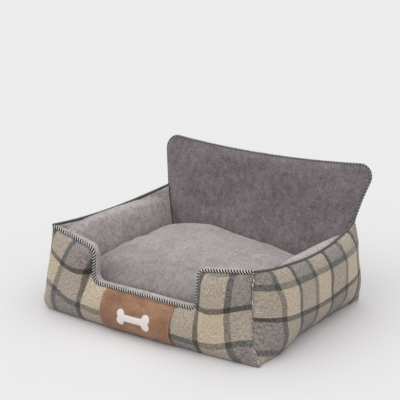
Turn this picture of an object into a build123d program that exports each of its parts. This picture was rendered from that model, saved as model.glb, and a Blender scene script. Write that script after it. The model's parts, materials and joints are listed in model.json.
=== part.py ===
from build123d import *
from collections import namedtuple
from functools import lru_cache
import math
import os

# Pet cushion bed: a padded tray with a leaning backrest and a loose cushion in its well.
# Millimetres. The origin is the middle of the underside, +X to the right, +Y to the back, +Z up.

# Overall sizes
base_width = 500.0  # at the floor, corner to corner
base_depth = 400.0
corner_height = 171.0  # the four tips of the walls
backrest_height = 283.0  # the piping's middle line at the upper corners of the backrest

# How the corners and faces of the tray stand in and out
side_lean = 16.0  # a wall's tip stands in from the floor corner
front_lean = 13.0
rear_lean = 4.0
side_sag = 17.0  # the top edge of a side wall at its middle, below its tips
side_belly = 27.0  # the side wall's fullest bow, beyond its corners
side_rim_bow = 21.0  # bow of its top edge
roll_belly = 33.0  # the front roll under the entry, beyond the corners
roll_height = 40.0  # height of that fullest line
post_belly = 16.0  # the front posts beyond the corners
rear_belly = 16.0
rear_rim_bow = 20.0
foot_side_bow = -4.0  # the floor outline is drawn in at the middle of each side
foot_front_bow = 7.0
foot_post_bow = 5.0
lip_bow = 6.0  # the entry's lip beyond the corners
upper_front_bow = 8.0
rim_front_bow = 5.0
rim_post_bow = 3.0

# Entry in the front wall
entry_width = 256.0
lip_height = 78.0
entry_top = 148.0  # top of the posts beside the entry
entry_top_radius = 13.0
entry_bottom_radius = 18.0
entry_lean = 10.0  # the entry's lip stands this far in front of the tips

# Thickness of the walls at their corners: at the floor, at middle height and at the tips
side_foot_wall = 60.0
side_middle_wall = 47.0
side_top_wall = 24.0
front_foot_wall = 42.0
front_middle_wall = 26.0
front_top_wall = 19.0
rear_foot_wall = 45.0
wall_middle_height = 90.0
well_side_bow = 4.0
well_front_bow = 2.0
well_top_front_bow = -4.0

# Backrest
panel_overhang = 1.0  # its sides stand this far out from the walls' tips, where it leaves them
panel_flare = 24.0  # each upper corner beyond that
panel_corner_radius = 18.0
panel_top_sag = 12.0
panel_edge = 13.0  # thickness at its piped edge
panel_front_bow = 7.0
panel_rear_bow = 14.0
panel_lean = 28.0  # its upper edge stands this far behind the walls' tips
panel_step = 15.0  # its sides run straight this far below the tips

# Fabric and trim
bottom_cloth = 2.0
base_pad_thickness = 12.0
base_lining_thickness = 1.5
cover_thickness = 2.0
lining_thickness = 4.0
piping_diameter = 8.0
label_width = 170.0
label_thickness = 1.6
label_clearance = 5.0  # below the middle of the lip's piping
label_hem = 3.0  # stitch line in from the label's edges
stitch_width = 1.0
stitch_height = 0.5
emblem_height = 0.9
bone_length = 78.0
bone_shaft = 11.0
bone_knob = 9.0  # radius of each of its four knobs
label_middle = 40.0  # height of the emblem

# Loose cushion
cushion_gap = 4.0  # to the well's faces
cushion_corner = 34.0
cushion_cover = 3.0
cushion_seam = 52.0  # height of its side seam
cushion_side = 12.0  # half height of its upright zipped side
cushion_crown = 106.0
cushion_zip_room = 22.5  # from the zipped side to the backrest, for the pull to swing
cushion_shoulder = 86.0  # height where it is widest
cushion_foot_inset = 13.0  # its base inside its sides
cushion_shoulder_inset = 16.0  # the roll from its shoulder to its crown, in two steps
cushion_crown_inset = 64.0
cushion_floor_gap = 0.5

# Coil zips, in the cushion's rear side and in the cover's rear foot
tape_width = 20.0
tape_thickness = 1.2
tape_proud = 0.4
coil_width = 5.0
coil_height = 1.8
zip_clearance = 0.4
slider_length = 11.0
slider_width = 9.0
slider_roof = 1.3
lug_gap = 4.0
lug_thickness = 1.2
lug_length = 3.4
pin_radius = 0.75
pin_height = 2.1  # above the slider's roof
eye_bore = 1.05
eye_radius = 1.75
pull_length = 11.0
pull_width = 5.5
pull_thickness = 1.3
stop_length = 3.0
cushion_zip_length = 280.0
cover_zip_length = 300.0
cover_zip_height = 26.0

margin = 60.0  # how far a cutting block runs past what it cuts

half_width = base_width / 2
half_depth = base_depth / 2
trim_height = corner_height + 4.0  # the lofts run past the tips and are trimmed back
piping_radius = piping_diameter / 2
tip_front = half_depth - front_lean
tip_rear = half_depth - rear_lean
tip_side = half_width - side_lean
panel_edge_line = tip_rear
panel_half_width = tip_side + panel_overhang
panel_foot = half_depth - rear_foot_wall
panel_angle = math.atan2(panel_lean, backrest_height - corner_height)
panel_plane = Plane(
    origin=(0, panel_edge_line, corner_height),
    x_dir=(1, 0, 0),
    z_dir=(0, -math.cos(panel_angle), math.sin(panel_angle)),
)
panel_rise = (backrest_height - corner_height) / math.cos(panel_angle)
entry_angle = math.atan2(entry_lean, corner_height - lip_height)
front_plane = Plane(
    origin=(0, -tip_front, corner_height),
    x_dir=(1, 0, 0),
    z_dir=(0, -math.cos(entry_angle), -math.sin(entry_angle)),
)

# A level is one horizontal outline of the tray: its corners, and how far each edge bows out
Level = namedtuple("Level", "height side front rear side_bow post_bow front_bow rear_bow")
outer_levels = [
    Level(bottom_cloth, half_width, half_depth, half_depth,
          foot_side_bow, foot_post_bow, foot_front_bow, 0),
    Level(roll_height, half_width, half_depth, half_depth, side_belly / 2, post_belly, roll_belly, 0),
    Level(lip_height, half_width - side_lean / 4, half_depth - front_lean / 5, half_depth,
          side_belly, post_belly, lip_bow, rear_belly / 2),
    Level((lip_height + trim_height) / 2, half_width - side_lean / 2, half_depth - front_lean / 2,
          half_depth - rear_lean / 2, side_belly, post_belly, upper_front_bow, rear_belly),
    Level(trim_height, tip_side, tip_front, tip_rear,
          side_rim_bow, rim_post_bow, rim_front_bow, rear_rim_bow),
]
well_rear = half_depth + margin
well_levels = [
    Level(bottom_cloth, half_width - side_foot_wall, half_depth - front_foot_wall, well_rear,
          well_side_bow, 0, well_front_bow, 0),
    Level(wall_middle_height, half_width - side_middle_wall, half_depth - front_middle_wall, well_rear,
          well_side_bow, 0, well_front_bow, 0),
    Level(corner_height + 2 * piping_radius, half_width - side_top_wall, half_depth - front_top_wall,
          well_rear, well_side_bow, 0, well_top_front_bow, 0),
]


def bowed_edge(start, end, bow_point, bow):
    if bow:
        ThreePointArc(start, bow_point, end)
    else:
        Line(start, end)


def outline(level, inset, front_posts):
    """One closed outline, its four faces moved in by inset."""
    x = level.side - inset
    front = -level.front + inset
    rear = level.rear - inset
    middle = (front + rear) / 2
    if front_posts:
        post = (x + entry_width / 2) / 2
        post_y = front - level.post_bow
        Spline((-x, front), (-post, post_y), (0, front - level.front_bow), (post, post_y), (x, front))
    else:
        bowed_edge((-x, front), (x, front), (0, front - level.front_bow), level.front_bow)
    bowed_edge((x, front), (x, rear), (x + level.side_bow, middle), level.side_bow)
    bowed_edge((x, rear), (-x, rear), (0, rear + level.rear_bow), level.rear_bow)
    bowed_edge((-x, rear), (-x, front), (-x - level.side_bow, middle), level.side_bow)


@lru_cache(maxsize=None)
def tray_block(inset):
    """The solid that the tray's outer faces enclose."""
    with BuildPart() as block:
        for level in outer_levels:
            with BuildSketch(Plane.XY.offset(level.height)):
                with BuildLine():
                    outline(level, inset, True)
                make_face()
        loft()
    return block.part


@lru_cache(maxsize=None)
def well_block(growth):
    """The space between the walls' plush faces, open at the rear."""
    with BuildPart() as block:
        for level in well_levels:
            with BuildSketch(Plane.XY.offset(level.height)):
                with BuildLine():
                    outline(level, -growth, False)
                make_face()
        loft()
    return block.part


def mitre(corner, slope, reach):
    """A point on a corner's mitre line, reach inwards in X."""
    return (corner[0] - reach, corner[1] + slope * reach)


front_corner = (half_width, -half_depth)
rear_corner = (half_width, half_depth)
front_slope = front_lean / side_lean
rear_slope = -0.5
wall_reach = 90.0


@lru_cache(maxsize=None)
def sector(side):
    """The block of space that a wall owns, between its mitre planes."""
    front_in = mitre(front_corner, front_slope, wall_reach)
    front_out = mitre(front_corner, front_slope, -margin)
    rear_in = mitre(rear_corner, rear_slope, wall_reach)
    rear_out = mitre(rear_corner, rear_slope, -margin)
    if side == "front":
        points = [front_in, front_out, (-front_out[0], front_out[1]), (-front_in[0], front_in[1])]
    else:
        points = [front_in, front_out, rear_out, rear_in]
    with BuildPart() as block:
        with BuildSketch(Plane.XY):
            Polygon(*points, align=None)
        extrude(amount=corner_height + margin)
    return block.part


@lru_cache(maxsize=None)
def side_elevation(drop):
    """What lies below the sagging top edge of the right wall."""
    run = half_depth + margin
    rise = side_sag * (run / ((tip_front + tip_rear) / 2)) ** 2
    middle = corner_height - side_sag - drop
    with BuildPart() as block:
        with BuildSketch(Plane.YZ):
            with BuildLine():
                ThreePointArc((-run, middle + rise), (0, middle), (run, middle + rise))
                Polyline((run, middle + rise), (run, -margin), (-run, -margin), (-run, middle + rise))
            make_face()
        extrude(amount=half_width + margin)
    return block.part


@lru_cache(maxsize=None)
def front_elevation(drop):
    """What lies below the top edge of the front wall, with the entry cut out."""
    half_entry = entry_width / 2 + drop
    slope = (corner_height - entry_top) / (tip_side - entry_width / 2)
    far = half_width + margin
    far_top = entry_top + slope * (far - entry_width / 2) - drop
    entry_corner = entry_top + slope * drop - drop
    lip = lip_height - drop
    with BuildPart() as block:
        with BuildSketch(Plane.XZ) as face:
            Polygon(
                (-far, -margin), (far, -margin), (far, far_top), (half_entry, entry_corner),
                (half_entry, lip), (-half_entry, lip), (-half_entry, entry_corner), (-far, far_top),
                align=None,
            )
            shoulders = [v for v in face.vertices() if abs(v.Y - entry_corner) < 0.01 and abs(v.X) < far - 1]
            fillet(shoulders, max(entry_top_radius - drop, 2.0))
            lip_corners = [v for v in face.vertices() if abs(v.Y - lip) < 0.01]
            fillet(lip_corners, entry_bottom_radius + drop)
        extrude(amount=half_depth + margin)
    return block.part


@lru_cache(maxsize=None)
def wall_block(side, inset, growth, drop):
    """A wall's solid: inset from its outer face, growth from its plush face, drop from its top."""
    elevation = front_elevation(drop) if side == "front" else side_elevation(drop)
    with BuildPart() as block:
        add(tray_block(inset))
        add(well_block(growth), mode=Mode.SUBTRACT)
        add(sector(side), mode=Mode.INTERSECT)
        add(elevation, mode=Mode.INTERSECT)
    return block.part


# The piped seams
side_mitres = sector("side")
with BuildPart() as right_piping:
    with BuildLine() as seam:
        ThreePointArc(
            (tip_side, -tip_front, corner_height),
            (tip_side + side_rim_bow, 0, corner_height - side_sag),
            (tip_side, tip_rear, corner_height),
        )
    with BuildSketch(Plane(origin=seam.line @ 0, z_dir=seam.line % 0)):
        Circle(piping_radius)
    sweep()
    add(side_mitres, mode=Mode.INTERSECT)

with BuildPart() as left_piping:
    mirror(right_piping.part, about=Plane.YZ)

with BuildPart() as front_piping:
    with BuildLine(front_plane) as seam:
        entry_shoulder = -(corner_height - entry_top) / math.cos(entry_angle)
        entry_lip = -(corner_height - lip_height) / math.cos(entry_angle)
        FilletPolyline(
            (-tip_side, 0),
            (-entry_width / 2, entry_shoulder),
            (-entry_width / 2, entry_lip),
            (entry_width / 2, entry_lip),
            (entry_width / 2, entry_shoulder),
            (tip_side, 0),
            radius=[entry_top_radius, entry_bottom_radius, entry_bottom_radius, entry_top_radius],
        )
    with BuildSketch(Plane(origin=seam.line @ 0, z_dir=seam.line % 0)):
        Circle(piping_radius)
    sweep()
    add(sector("front"), mode=Mode.INTERSECT)


def panel_top(growth):
    """The backrest's piped edge, from the right tip over the top to the left tip."""
    foot = (panel_half_width + growth, 0)
    corner = (panel_half_width + panel_flare + growth, panel_rise + growth)
    Line(foot, corner)
    ThreePointArc(corner, (0, panel_rise + growth - panel_top_sag), (-corner[0], corner[1]))
    Line((-corner[0], corner[1]), (-foot[0], foot[1]))


with BuildPart() as backrest_piping:
    with BuildLine(panel_plane) as seam:
        panel_top(0)
        corners = seam.vertices().sort_by(Axis.Z)[-2:]
        fillet(corners, panel_corner_radius)
    path = seam.line
    with BuildSketch(Plane(origin=path @ 0, z_dir=path % 0)):
        Circle(piping_radius)
    sweep(path=path)
    add(right_piping.part, mode=Mode.SUBTRACT)
    add(left_piping.part, mode=Mode.SUBTRACT)

all_piping = [front_piping.part, right_piping.part, left_piping.part, backrest_piping.part]


def wall_layers(side, inset, growth, drop, hollow):
    """One layer of a wall: a wall block less the block inside it and less the piping."""
    with BuildPart() as layer:
        add(wall_block(side, inset, growth, drop))
        if hollow:
            add(hollow, mode=Mode.SUBTRACT)
        for piping in all_piping:
            add(piping, mode=Mode.SUBTRACT)
    return layer.part


def wall_pieces(side):
    """A wall's plaid cover, plush lining and foam."""
    lined = wall_block(side, cover_thickness, 0, 0)
    core = wall_block(side, cover_thickness, lining_thickness, lining_thickness)
    cover = wall_layers(side, 0, 0, 0, lined)
    lining = wall_layers(side, cover_thickness, 0, 0, core)
    foam = wall_layers(side, cover_thickness, lining_thickness, lining_thickness, None)
    return cover, lining, foam


front_pieces = wall_pieces("front")
right_pieces = wall_pieces("side")

with BuildPart() as front_outer_cover:
    add(front_pieces[0])

with BuildPart() as front_inner_lining:
    add(front_pieces[1])

with BuildPart() as front_foam:
    add(front_pieces[2])

with BuildPart() as right_outer_cover:
    add(right_pieces[0])

with BuildPart() as right_inner_lining:
    add(right_pieces[1])

with BuildPart() as right_foam:
    add(right_pieces[2])

with BuildPart() as left_outer_cover:
    mirror(right_pieces[0], about=Plane.YZ)

with BuildPart() as left_inner_lining:
    mirror(right_pieces[1], about=Plane.YZ)

with BuildPart() as left_foam:
    mirror(right_pieces[2], about=Plane.YZ)


# Backrest, and the rear wall that is its foot
def panel_face_y(height):
    """y of the plush face's edges at a height."""
    if height >= corner_height:
        return panel_edge_line - panel_edge / 2 + math.tan(panel_angle) * (height - corner_height)
    return panel_foot + (panel_edge_line - panel_edge / 2 - panel_foot) * height / corner_height


def panel_levels():
    """Height, plush face y, rear face y, and the bow of each."""
    upper = (corner_height + backrest_height) / 2
    over = backrest_height + 2 * piping_diameter
    return [
        (bottom_cloth, panel_face_y(bottom_cloth), half_depth, 0, 0),
        (roll_height, panel_face_y(roll_height), half_depth, 0, 0),
        (corner_height / 2, panel_face_y(corner_height / 2), half_depth, 0, rear_belly),
        (corner_height, panel_face_y(corner_height), panel_face_y(corner_height) + panel_edge,
         panel_front_bow, panel_rear_bow),
        (upper, panel_face_y(upper), panel_face_y(upper) + panel_edge, panel_front_bow, panel_rear_bow),
        (over, panel_face_y(over), panel_face_y(over) + panel_edge,
         panel_front_bow, panel_rear_bow / 2),
    ]


def panel_slab(front_in, rear_in, edge_in):
    """The backrest from the floor up, each face moved in by its own amount."""
    side = half_width + panel_flare
    with BuildPart() as slab:
        for height, front, rear, front_bow, rear_bow in panel_levels():
            y0 = front + front_in
            y1 = rear - rear_in
            with BuildSketch(Plane.XY.offset(height)):
                with BuildLine():
                    bowed_edge((-side, y0), (side, y0), (0, y0 - front_bow), front_bow)
                    Line((side, y0), (side, y1))
                    bowed_edge((side, y1), (-side, y1), (0, y1 + rear_bow), rear_bow)
                    Line((-side, y1), (-side, y0))
                make_face()
        loft()
        with BuildSketch(panel_plane) as face:
            with BuildLine():
                panel_top(-edge_in)
                foot = panel_half_width - edge_in
                Polyline((-foot, 0), (-foot, -panel_step), (-side, -panel_step),
                         (-side, -corner_height - margin), (side, -corner_height - margin),
                         (side, -panel_step), (foot, -panel_step), (foot, 0))
            make_face()
            corners = face.vertices().group_by(Axis.Y)[-1]
            fillet(corners, panel_corner_radius)
        extrude(amount=margin * 2, both=True, mode=Mode.INTERSECT)
    return slab.part


right_wall = wall_block("side", 0, 0, 0)
with BuildPart() as left_wall:
    mirror(right_wall, about=Plane.YZ)


def panel_block(front_in, rear_in, edge_in):
    """The backrest: its foot fills the tray's rear between the side walls."""
    slab = panel_slab(front_in, rear_in, edge_in)
    with BuildPart() as foot:
        add(slab)
        add(tray_block(rear_in), mode=Mode.INTERSECT)
    with BuildPart() as block:
        add(slab)
        split(bisect_by=Plane.XY.offset(corner_height + rear_in), keep=Keep.TOP)
        add(foot.part)
        add(right_wall, mode=Mode.SUBTRACT)
        add(left_wall.part, mode=Mode.SUBTRACT)
    return block.part


cover_zip_plane = Plane(
    origin=(0, half_depth - tape_thickness, cover_zip_height), x_dir=(-1, 0, 0), z_dir=(0, 1, 0)
)
low_face = (Align.CENTER, Align.CENTER, Align.MIN)  # stands on its plane
with BuildPart(cover_zip_plane) as cover_pocket:
    Box(cover_zip_length + 2 * stop_length, tape_width, margin, align=low_face)

lined_panel = panel_block(0, cover_thickness, cover_thickness)
panel_core = panel_block(lining_thickness, cover_thickness, cover_thickness)

with BuildPart() as backrest_outer_cover:
    add(panel_block(0, 0, 0))
    add(lined_panel, mode=Mode.SUBTRACT)
    for piping in all_piping:
        add(piping, mode=Mode.SUBTRACT)
    add(cover_pocket.part, mode=Mode.SUBTRACT)

with BuildPart() as backrest_inner_lining:
    add(lined_panel)
    add(panel_core, mode=Mode.SUBTRACT)
    for piping in all_piping:
        add(piping, mode=Mode.SUBTRACT)

with BuildPart() as backrest_foam:
    add(panel_core)
    for piping in all_piping:
        add(piping, mode=Mode.SUBTRACT)
    add(cover_pocket.part, mode=Mode.SUBTRACT)

# Base
panel_whole = panel_slab(0, 0, 0)


def base_layer(low, high):
    """A flat layer of the base inside the walls."""
    with BuildPart() as layer:
        with BuildSketch(Plane.XY.offset(low)):
            Rectangle(base_width, base_depth + margin)
        extrude(amount=high - low)
        add(well_block(0), mode=Mode.INTERSECT)
        add(panel_whole, mode=Mode.SUBTRACT)
    return layer.part.solids().sort_by(SortBy.VOLUME)[-1]


with BuildPart() as base_bottom_cloth:
    with BuildSketch():
        with BuildLine():
            outline(outer_levels[0], 0, True)
        make_face()
    extrude(amount=bottom_cloth)

pad_top = bottom_cloth + base_pad_thickness
well_floor = pad_top + base_lining_thickness
with BuildPart() as base_pad:
    add(base_layer(bottom_cloth, pad_top))

with BuildPart() as base_lining:
    add(base_layer(pad_top, well_floor))


# Label on the front roll
def skin(inner, outer):
    """A thin skin that follows the tray's outer face, from inner to outer off it."""
    with BuildPart() as layer:
        add(tray_block(-outer))
        add(tray_block(-inner), mode=Mode.SUBTRACT)
    return layer.part


def on_front(sheet, sketch):
    """The part of a skin in front of a sketch on the front elevation."""
    with BuildPart() as patch:
        add(sheet)
        extrude(sketch, amount=half_depth + margin, mode=Mode.INTERSECT)
        add(front_piping.part, mode=Mode.SUBTRACT)
    front_only = [s for s in patch.part.solids() if s.center().Y < 0]
    return front_only


label_top = lip_height - label_clearance
label_foot = bottom_cloth + 1.0
label_height = label_top - label_foot
label_centre = (label_top + label_foot) / 2
with BuildSketch(Plane.XZ) as label_shape:
    with Locations((0, label_centre)):
        Rectangle(label_width, label_height)

with BuildSketch(Plane.XZ) as stitch_shape:
    stitch_x = label_width / 2 - label_hem
    with Locations((-stitch_x, label_centre), (stitch_x, label_centre)):
        Rectangle(stitch_width, label_height - 2 * label_hem)

with BuildSketch(Plane.XZ) as bone_shape:
    with Locations((0, label_middle)):
        Rectangle(bone_length - 2 * bone_knob, bone_shaft)
    knob_x = bone_length / 2 - bone_knob
    knob_y = bone_knob * 0.8
    for x in (-knob_x, knob_x):
        for y in (-knob_y, knob_y):
            with Locations((x, label_middle + y)):
                Circle(bone_knob)

with BuildPart() as label_patch:
    add(on_front(skin(0, label_thickness), label_shape.sketch))

with BuildPart() as label_stitching:
    add(on_front(skin(label_thickness, label_thickness + stitch_height), stitch_shape.sketch))

with BuildPart() as label_emblem:
    add(on_front(skin(label_thickness, label_thickness + emblem_height), bone_shape.sketch))


# Loose cushion
cushion_floor = well_floor + cushion_floor_gap
cushion_rear = panel_face_y(cushion_seam) - cushion_zip_room


def well_at(height):
    """The well's half width and front at a height below its middle."""
    low, high = well_levels[:2]
    share = (height - low.height) / (high.height - low.height)
    side = low.side + (high.side - low.side) * share
    front = low.front + (high.front - low.front) * share
    return side, front


def cushion_levels():
    """Height, half width, front and rear of each outline of the cushion."""
    low = cushion_seam - cushion_side
    high = cushion_seam + cushion_side
    low_side, low_front = [size - cushion_gap for size in well_at(low)]
    high_side, high_front = [size - cushion_gap for size in well_at(high)]
    side, front = [size - cushion_gap for size in well_at(cushion_shoulder)]
    rear = panel_face_y(cushion_shoulder) - cushion_gap
    inset = cushion_shoulder_inset
    return [
        (cushion_floor, low_side - cushion_foot_inset, low_front - cushion_foot_inset,
         cushion_rear - cushion_foot_inset),
        (low, low_side, low_front, cushion_rear),
        (high, high_side, high_front, cushion_rear),
        (cushion_shoulder, side, front, rear),
        ((cushion_shoulder + cushion_crown) / 2, side - inset, front - inset, rear - inset / 2),
        (cushion_crown, side - cushion_crown_inset, front - cushion_crown_inset,
         rear - cushion_crown_inset),
    ]


def cushion_block(inset):
    """The cushion's solid, its faces moved in by inset."""
    levels = cushion_levels()
    with BuildPart() as block:
        for height, side, front, rear in levels:
            level = height
            if height == levels[0][0]:
                level = height + inset
            if height == levels[-1][0]:
                level = height - inset
            middle = (rear - front) / 2
            with BuildSketch(Plane.XY.offset(level)):
                with Locations((0, middle)):
                    RectangleRounded(2 * (side - inset), rear + front - 2 * inset, cushion_corner - inset)
        loft(ruled=True)
    return block.part


cushion_zip_plane = Plane(
    origin=(0, cushion_rear - tape_thickness + tape_proud, cushion_seam), x_dir=(-1, 0, 0), z_dir=(0, 1, 0)
)
with BuildPart(cushion_zip_plane) as cushion_pocket:
    Box(cushion_zip_length + 2 * stop_length, tape_width, margin / 2, align=low_face)

cushion_whole = cushion_block(0)
cushion_core = cushion_block(cushion_cover)
with BuildPart() as cushion_top_cover:
    add(cushion_whole)
    add(cushion_core, mode=Mode.SUBTRACT)
    split(bisect_by=Plane.XY.offset(cushion_seam), keep=Keep.TOP)
    add(cushion_pocket.part, mode=Mode.SUBTRACT)

with BuildPart() as cushion_bottom_cover:
    add(cushion_whole)
    add(cushion_core, mode=Mode.SUBTRACT)
    split(bisect_by=Plane.XY.offset(cushion_seam), keep=Keep.BOTTOM)
    add(cushion_pocket.part, mode=Mode.SUBTRACT)

with BuildPart() as cushion_filling:
    add(cushion_core)
    add(cushion_pocket.part, mode=Mode.SUBTRACT)


# Coil zips. In a zip's own plane X runs along it, Y up it and Z out of the cloth.
coil_top = tape_thickness + coil_height
roof_low = coil_top + zip_clearance
roof_top = roof_low + slider_roof
pin_level = roof_top + pin_height


def zip_tape(plane, length):
    with BuildPart(plane) as tape:
        Box(length + 2 * stop_length, tape_width, tape_thickness, align=low_face)
    return tape.part


def zip_coil(plane, length):
    with BuildPart(plane.offset(tape_thickness)) as coil:
        Box(length, coil_width, coil_height, align=low_face)
        fillet(coil.edges().filter_by(Axis.X).sort_by(Axis.Y)[-2:], coil_height / 3)
    return coil.part


def zip_stops(plane, length):
    with BuildPart(plane.offset(tape_thickness)) as stops:
        with Locations((-(length + stop_length) / 2, 0), ((length + stop_length) / 2, 0)):
            Box(stop_length, coil_width + 1, coil_height, align=low_face)
    return stops.part


def slider_start(length):
    """Where the slider stands when the zip is closed."""
    return (length - slider_length) / 2 - zip_clearance


def zip_slider(plane, length):
    """A slider over the coil, with two lugs and a pin for its pull."""
    start = slider_start(length)
    body_low = tape_thickness + zip_clearance
    with BuildPart(plane) as slider:
        with Locations((start, 0, body_low)):
            Box(slider_length, slider_width, roof_top - body_low, align=low_face)
        fillet(slider.edges().filter_by(Axis.Y), slider_width / 4)
        with Locations((start, 0, 0)):
            Box(2 * slider_length, coil_width + 2 * zip_clearance, roof_low, align=low_face,
                mode=Mode.SUBTRACT)
        lug_y = (lug_gap + lug_thickness) / 2
        with Locations((start, -lug_y, roof_top), (start, lug_y, roof_top)):
            Box(lug_length, lug_thickness, pin_height + 2 * pin_radius, align=low_face)
        with Locations(Location((start, 0, pin_level), (90, 0, 0))):
            Cylinder(pin_radius, lug_gap + lug_thickness)
    return slider.part


def zip_pull(plane, length):
    """A flat pull whose eye turns on the slider's pin."""
    start = slider_start(length)
    eye_width = lug_gap - 2 * zip_clearance
    with BuildPart(plane) as pull:
        with Locations(Location((start, 0, pin_level), (90, 0, 0))):
            Cylinder(eye_radius, eye_width)
        neck = lug_length
        with Locations((start - neck / 2, 0, pin_level)):
            Box(neck, eye_width, pull_thickness)
        tab = pull_length - neck
        with Locations((start - neck - tab / 2, 0, pin_level)):
            Box(tab, pull_width, pull_thickness)
        ends = pull.edges().filter_by(Axis.Y).sort_by(Axis.X)[-2:]
        fillet(ends, pull_width / 3)
        with Locations(Location((start, 0, pin_level), (90, 0, 0))):
            Cylinder(eye_bore, eye_width, mode=Mode.SUBTRACT)
    return pull.part


with BuildPart() as cushion_zip_tape:
    add(zip_tape(cushion_zip_plane, cushion_zip_length))
with BuildPart() as cushion_zip_coil:
    add(zip_coil(cushion_zip_plane, cushion_zip_length))
with BuildPart() as cushion_zip_stops:
    add(zip_stops(cushion_zip_plane, cushion_zip_length))
with BuildPart() as cushion_zip_slider:
    add(zip_slider(cushion_zip_plane, cushion_zip_length))
with BuildPart() as cushion_zip_pull:
    add(zip_pull(cushion_zip_plane, cushion_zip_length))

with BuildPart() as cover_zip_tape:
    add(zip_tape(cover_zip_plane, cover_zip_length))
with BuildPart() as cover_zip_coil:
    add(zip_coil(cover_zip_plane, cover_zip_length))
with BuildPart() as cover_zip_stops:
    add(zip_stops(cover_zip_plane, cover_zip_length))
with BuildPart() as cover_zip_slider:
    add(zip_slider(cover_zip_plane, cover_zip_length))
with BuildPart() as cover_zip_pull:
    add(zip_pull(cover_zip_plane, cover_zip_length))

pieces = {
    "base_bottom_cloth": base_bottom_cloth,
    "base_pad": base_pad,
    "base_lining": base_lining,
    "front_outer_cover": front_outer_cover,
    "front_inner_lining": front_inner_lining,
    "front_foam": front_foam,
    "right_outer_cover": right_outer_cover,
    "right_inner_lining": right_inner_lining,
    "right_foam": right_foam,
    "left_outer_cover": left_outer_cover,
    "left_inner_lining": left_inner_lining,
    "left_foam": left_foam,
    "backrest_outer_cover": backrest_outer_cover,
    "backrest_inner_lining": backrest_inner_lining,
    "backrest_foam": backrest_foam,
    "front_piping": front_piping,
    "right_piping": right_piping,
    "left_piping": left_piping,
    "backrest_piping": backrest_piping,
    "label_patch": label_patch,
    "label_stitching": label_stitching,
    "label_emblem": label_emblem,
    "cushion_top_cover": cushion_top_cover,
    "cushion_bottom_cover": cushion_bottom_cover,
    "cushion_filling": cushion_filling,
    "cushion_zip_tape": cushion_zip_tape,
    "cushion_zip_coil": cushion_zip_coil,
    "cushion_zip_stops": cushion_zip_stops,
    "cushion_zip_slider": cushion_zip_slider,
    "cushion_zip_pull": cushion_zip_pull,
    "cover_zip_tape": cover_zip_tape,
    "cover_zip_coil": cover_zip_coil,
    "cover_zip_stops": cover_zip_stops,
    "cover_zip_slider": cover_zip_slider,
    "cover_zip_pull": cover_zip_pull,
}
os.makedirs("parts", exist_ok=True)
for name, piece in pieces.items():
    piece.part.label = name
    export_step(piece.part, f"parts/{name}.step")
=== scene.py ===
import bpy, json, math
import numpy as np
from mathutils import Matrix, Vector, noise

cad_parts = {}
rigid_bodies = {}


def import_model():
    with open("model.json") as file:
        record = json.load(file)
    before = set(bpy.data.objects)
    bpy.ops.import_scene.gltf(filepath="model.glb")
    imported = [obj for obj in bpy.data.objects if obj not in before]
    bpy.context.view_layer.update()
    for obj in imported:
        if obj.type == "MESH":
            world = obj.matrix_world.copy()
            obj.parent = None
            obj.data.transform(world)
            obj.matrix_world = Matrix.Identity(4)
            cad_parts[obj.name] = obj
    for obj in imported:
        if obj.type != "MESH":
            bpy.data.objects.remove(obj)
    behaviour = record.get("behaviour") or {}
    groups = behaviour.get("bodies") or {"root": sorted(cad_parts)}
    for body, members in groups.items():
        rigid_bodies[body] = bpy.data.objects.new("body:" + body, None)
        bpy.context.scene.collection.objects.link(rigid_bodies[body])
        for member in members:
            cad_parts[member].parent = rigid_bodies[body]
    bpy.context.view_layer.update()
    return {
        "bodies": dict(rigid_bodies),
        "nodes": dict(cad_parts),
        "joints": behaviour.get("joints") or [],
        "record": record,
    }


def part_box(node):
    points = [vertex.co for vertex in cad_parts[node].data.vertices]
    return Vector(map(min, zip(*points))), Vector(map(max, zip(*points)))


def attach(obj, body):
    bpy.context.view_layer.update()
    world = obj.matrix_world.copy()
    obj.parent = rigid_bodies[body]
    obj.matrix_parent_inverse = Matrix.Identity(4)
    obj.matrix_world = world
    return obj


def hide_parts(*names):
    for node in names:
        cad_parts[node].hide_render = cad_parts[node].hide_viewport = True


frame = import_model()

mm = 0.001
print("frame loaded")

# sizes that the frame holds
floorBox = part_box("base_bottom_cloth")
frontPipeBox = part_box("front_piping")
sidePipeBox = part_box("right_piping")
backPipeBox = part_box("backrest_piping")
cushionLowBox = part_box("cushion_bottom_cover")
pipeRadius = 4.0 * mm
halfWide = floorBox[1].x
lipZ = frontPipeBox[0].z + pipeRadius
tipZ = sidePipeBox[1].z - pipeRadius + 1.0 * mm
tipX = frontPipeBox[1].x
tipFront = -187 * mm
tipRear = 196 * mm
backTopZ = backPipeBox[1].z - pipeRadius
backHalf = backPipeBox[1].x - pipeRadius
seamZ = cushionLowBox[1].z


# small tools
def smooth(a, b, x):
    t = np.clip((np.asarray(x, float) - a) / (b - a), 0, 1)
    return t * t * (3 - 2 * t)


def curveThrough(knots, x):  # smooth values through (place, value) knots
    places = np.array([k[0] for k in knots], float)
    values = np.array([k[1] for k in knots], float)
    slopes = np.gradient(values, places)
    x = np.clip(np.asarray(x, float), places[0], places[-1])
    i = np.clip(np.searchsorted(places, x, side="right") - 1, 0, len(places) - 2)
    h = places[i + 1] - places[i]
    t = (x - places[i]) / h
    return ((2 * t**3 - 3 * t**2 + 1) * values[i] + (t**3 - 2 * t**2 + t) * h * slopes[i]
            + (3 * t**2 - 2 * t**3) * values[i + 1] + (t**3 - t**2) * h * slopes[i + 1])


def ripple(points, scale, seed, depth=2):  # signed noise at each point
    flat = np.asarray(points, float).reshape(-1, 3)
    shift = Vector((seed * 3.7, seed * 1.3, seed * 5.1))
    out = [noise.fractal(Vector(p) / scale + shift, 0.9, 2.0, depth) for p in flat]
    return np.array(out).reshape(np.asarray(points).shape[:-1])


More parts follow.
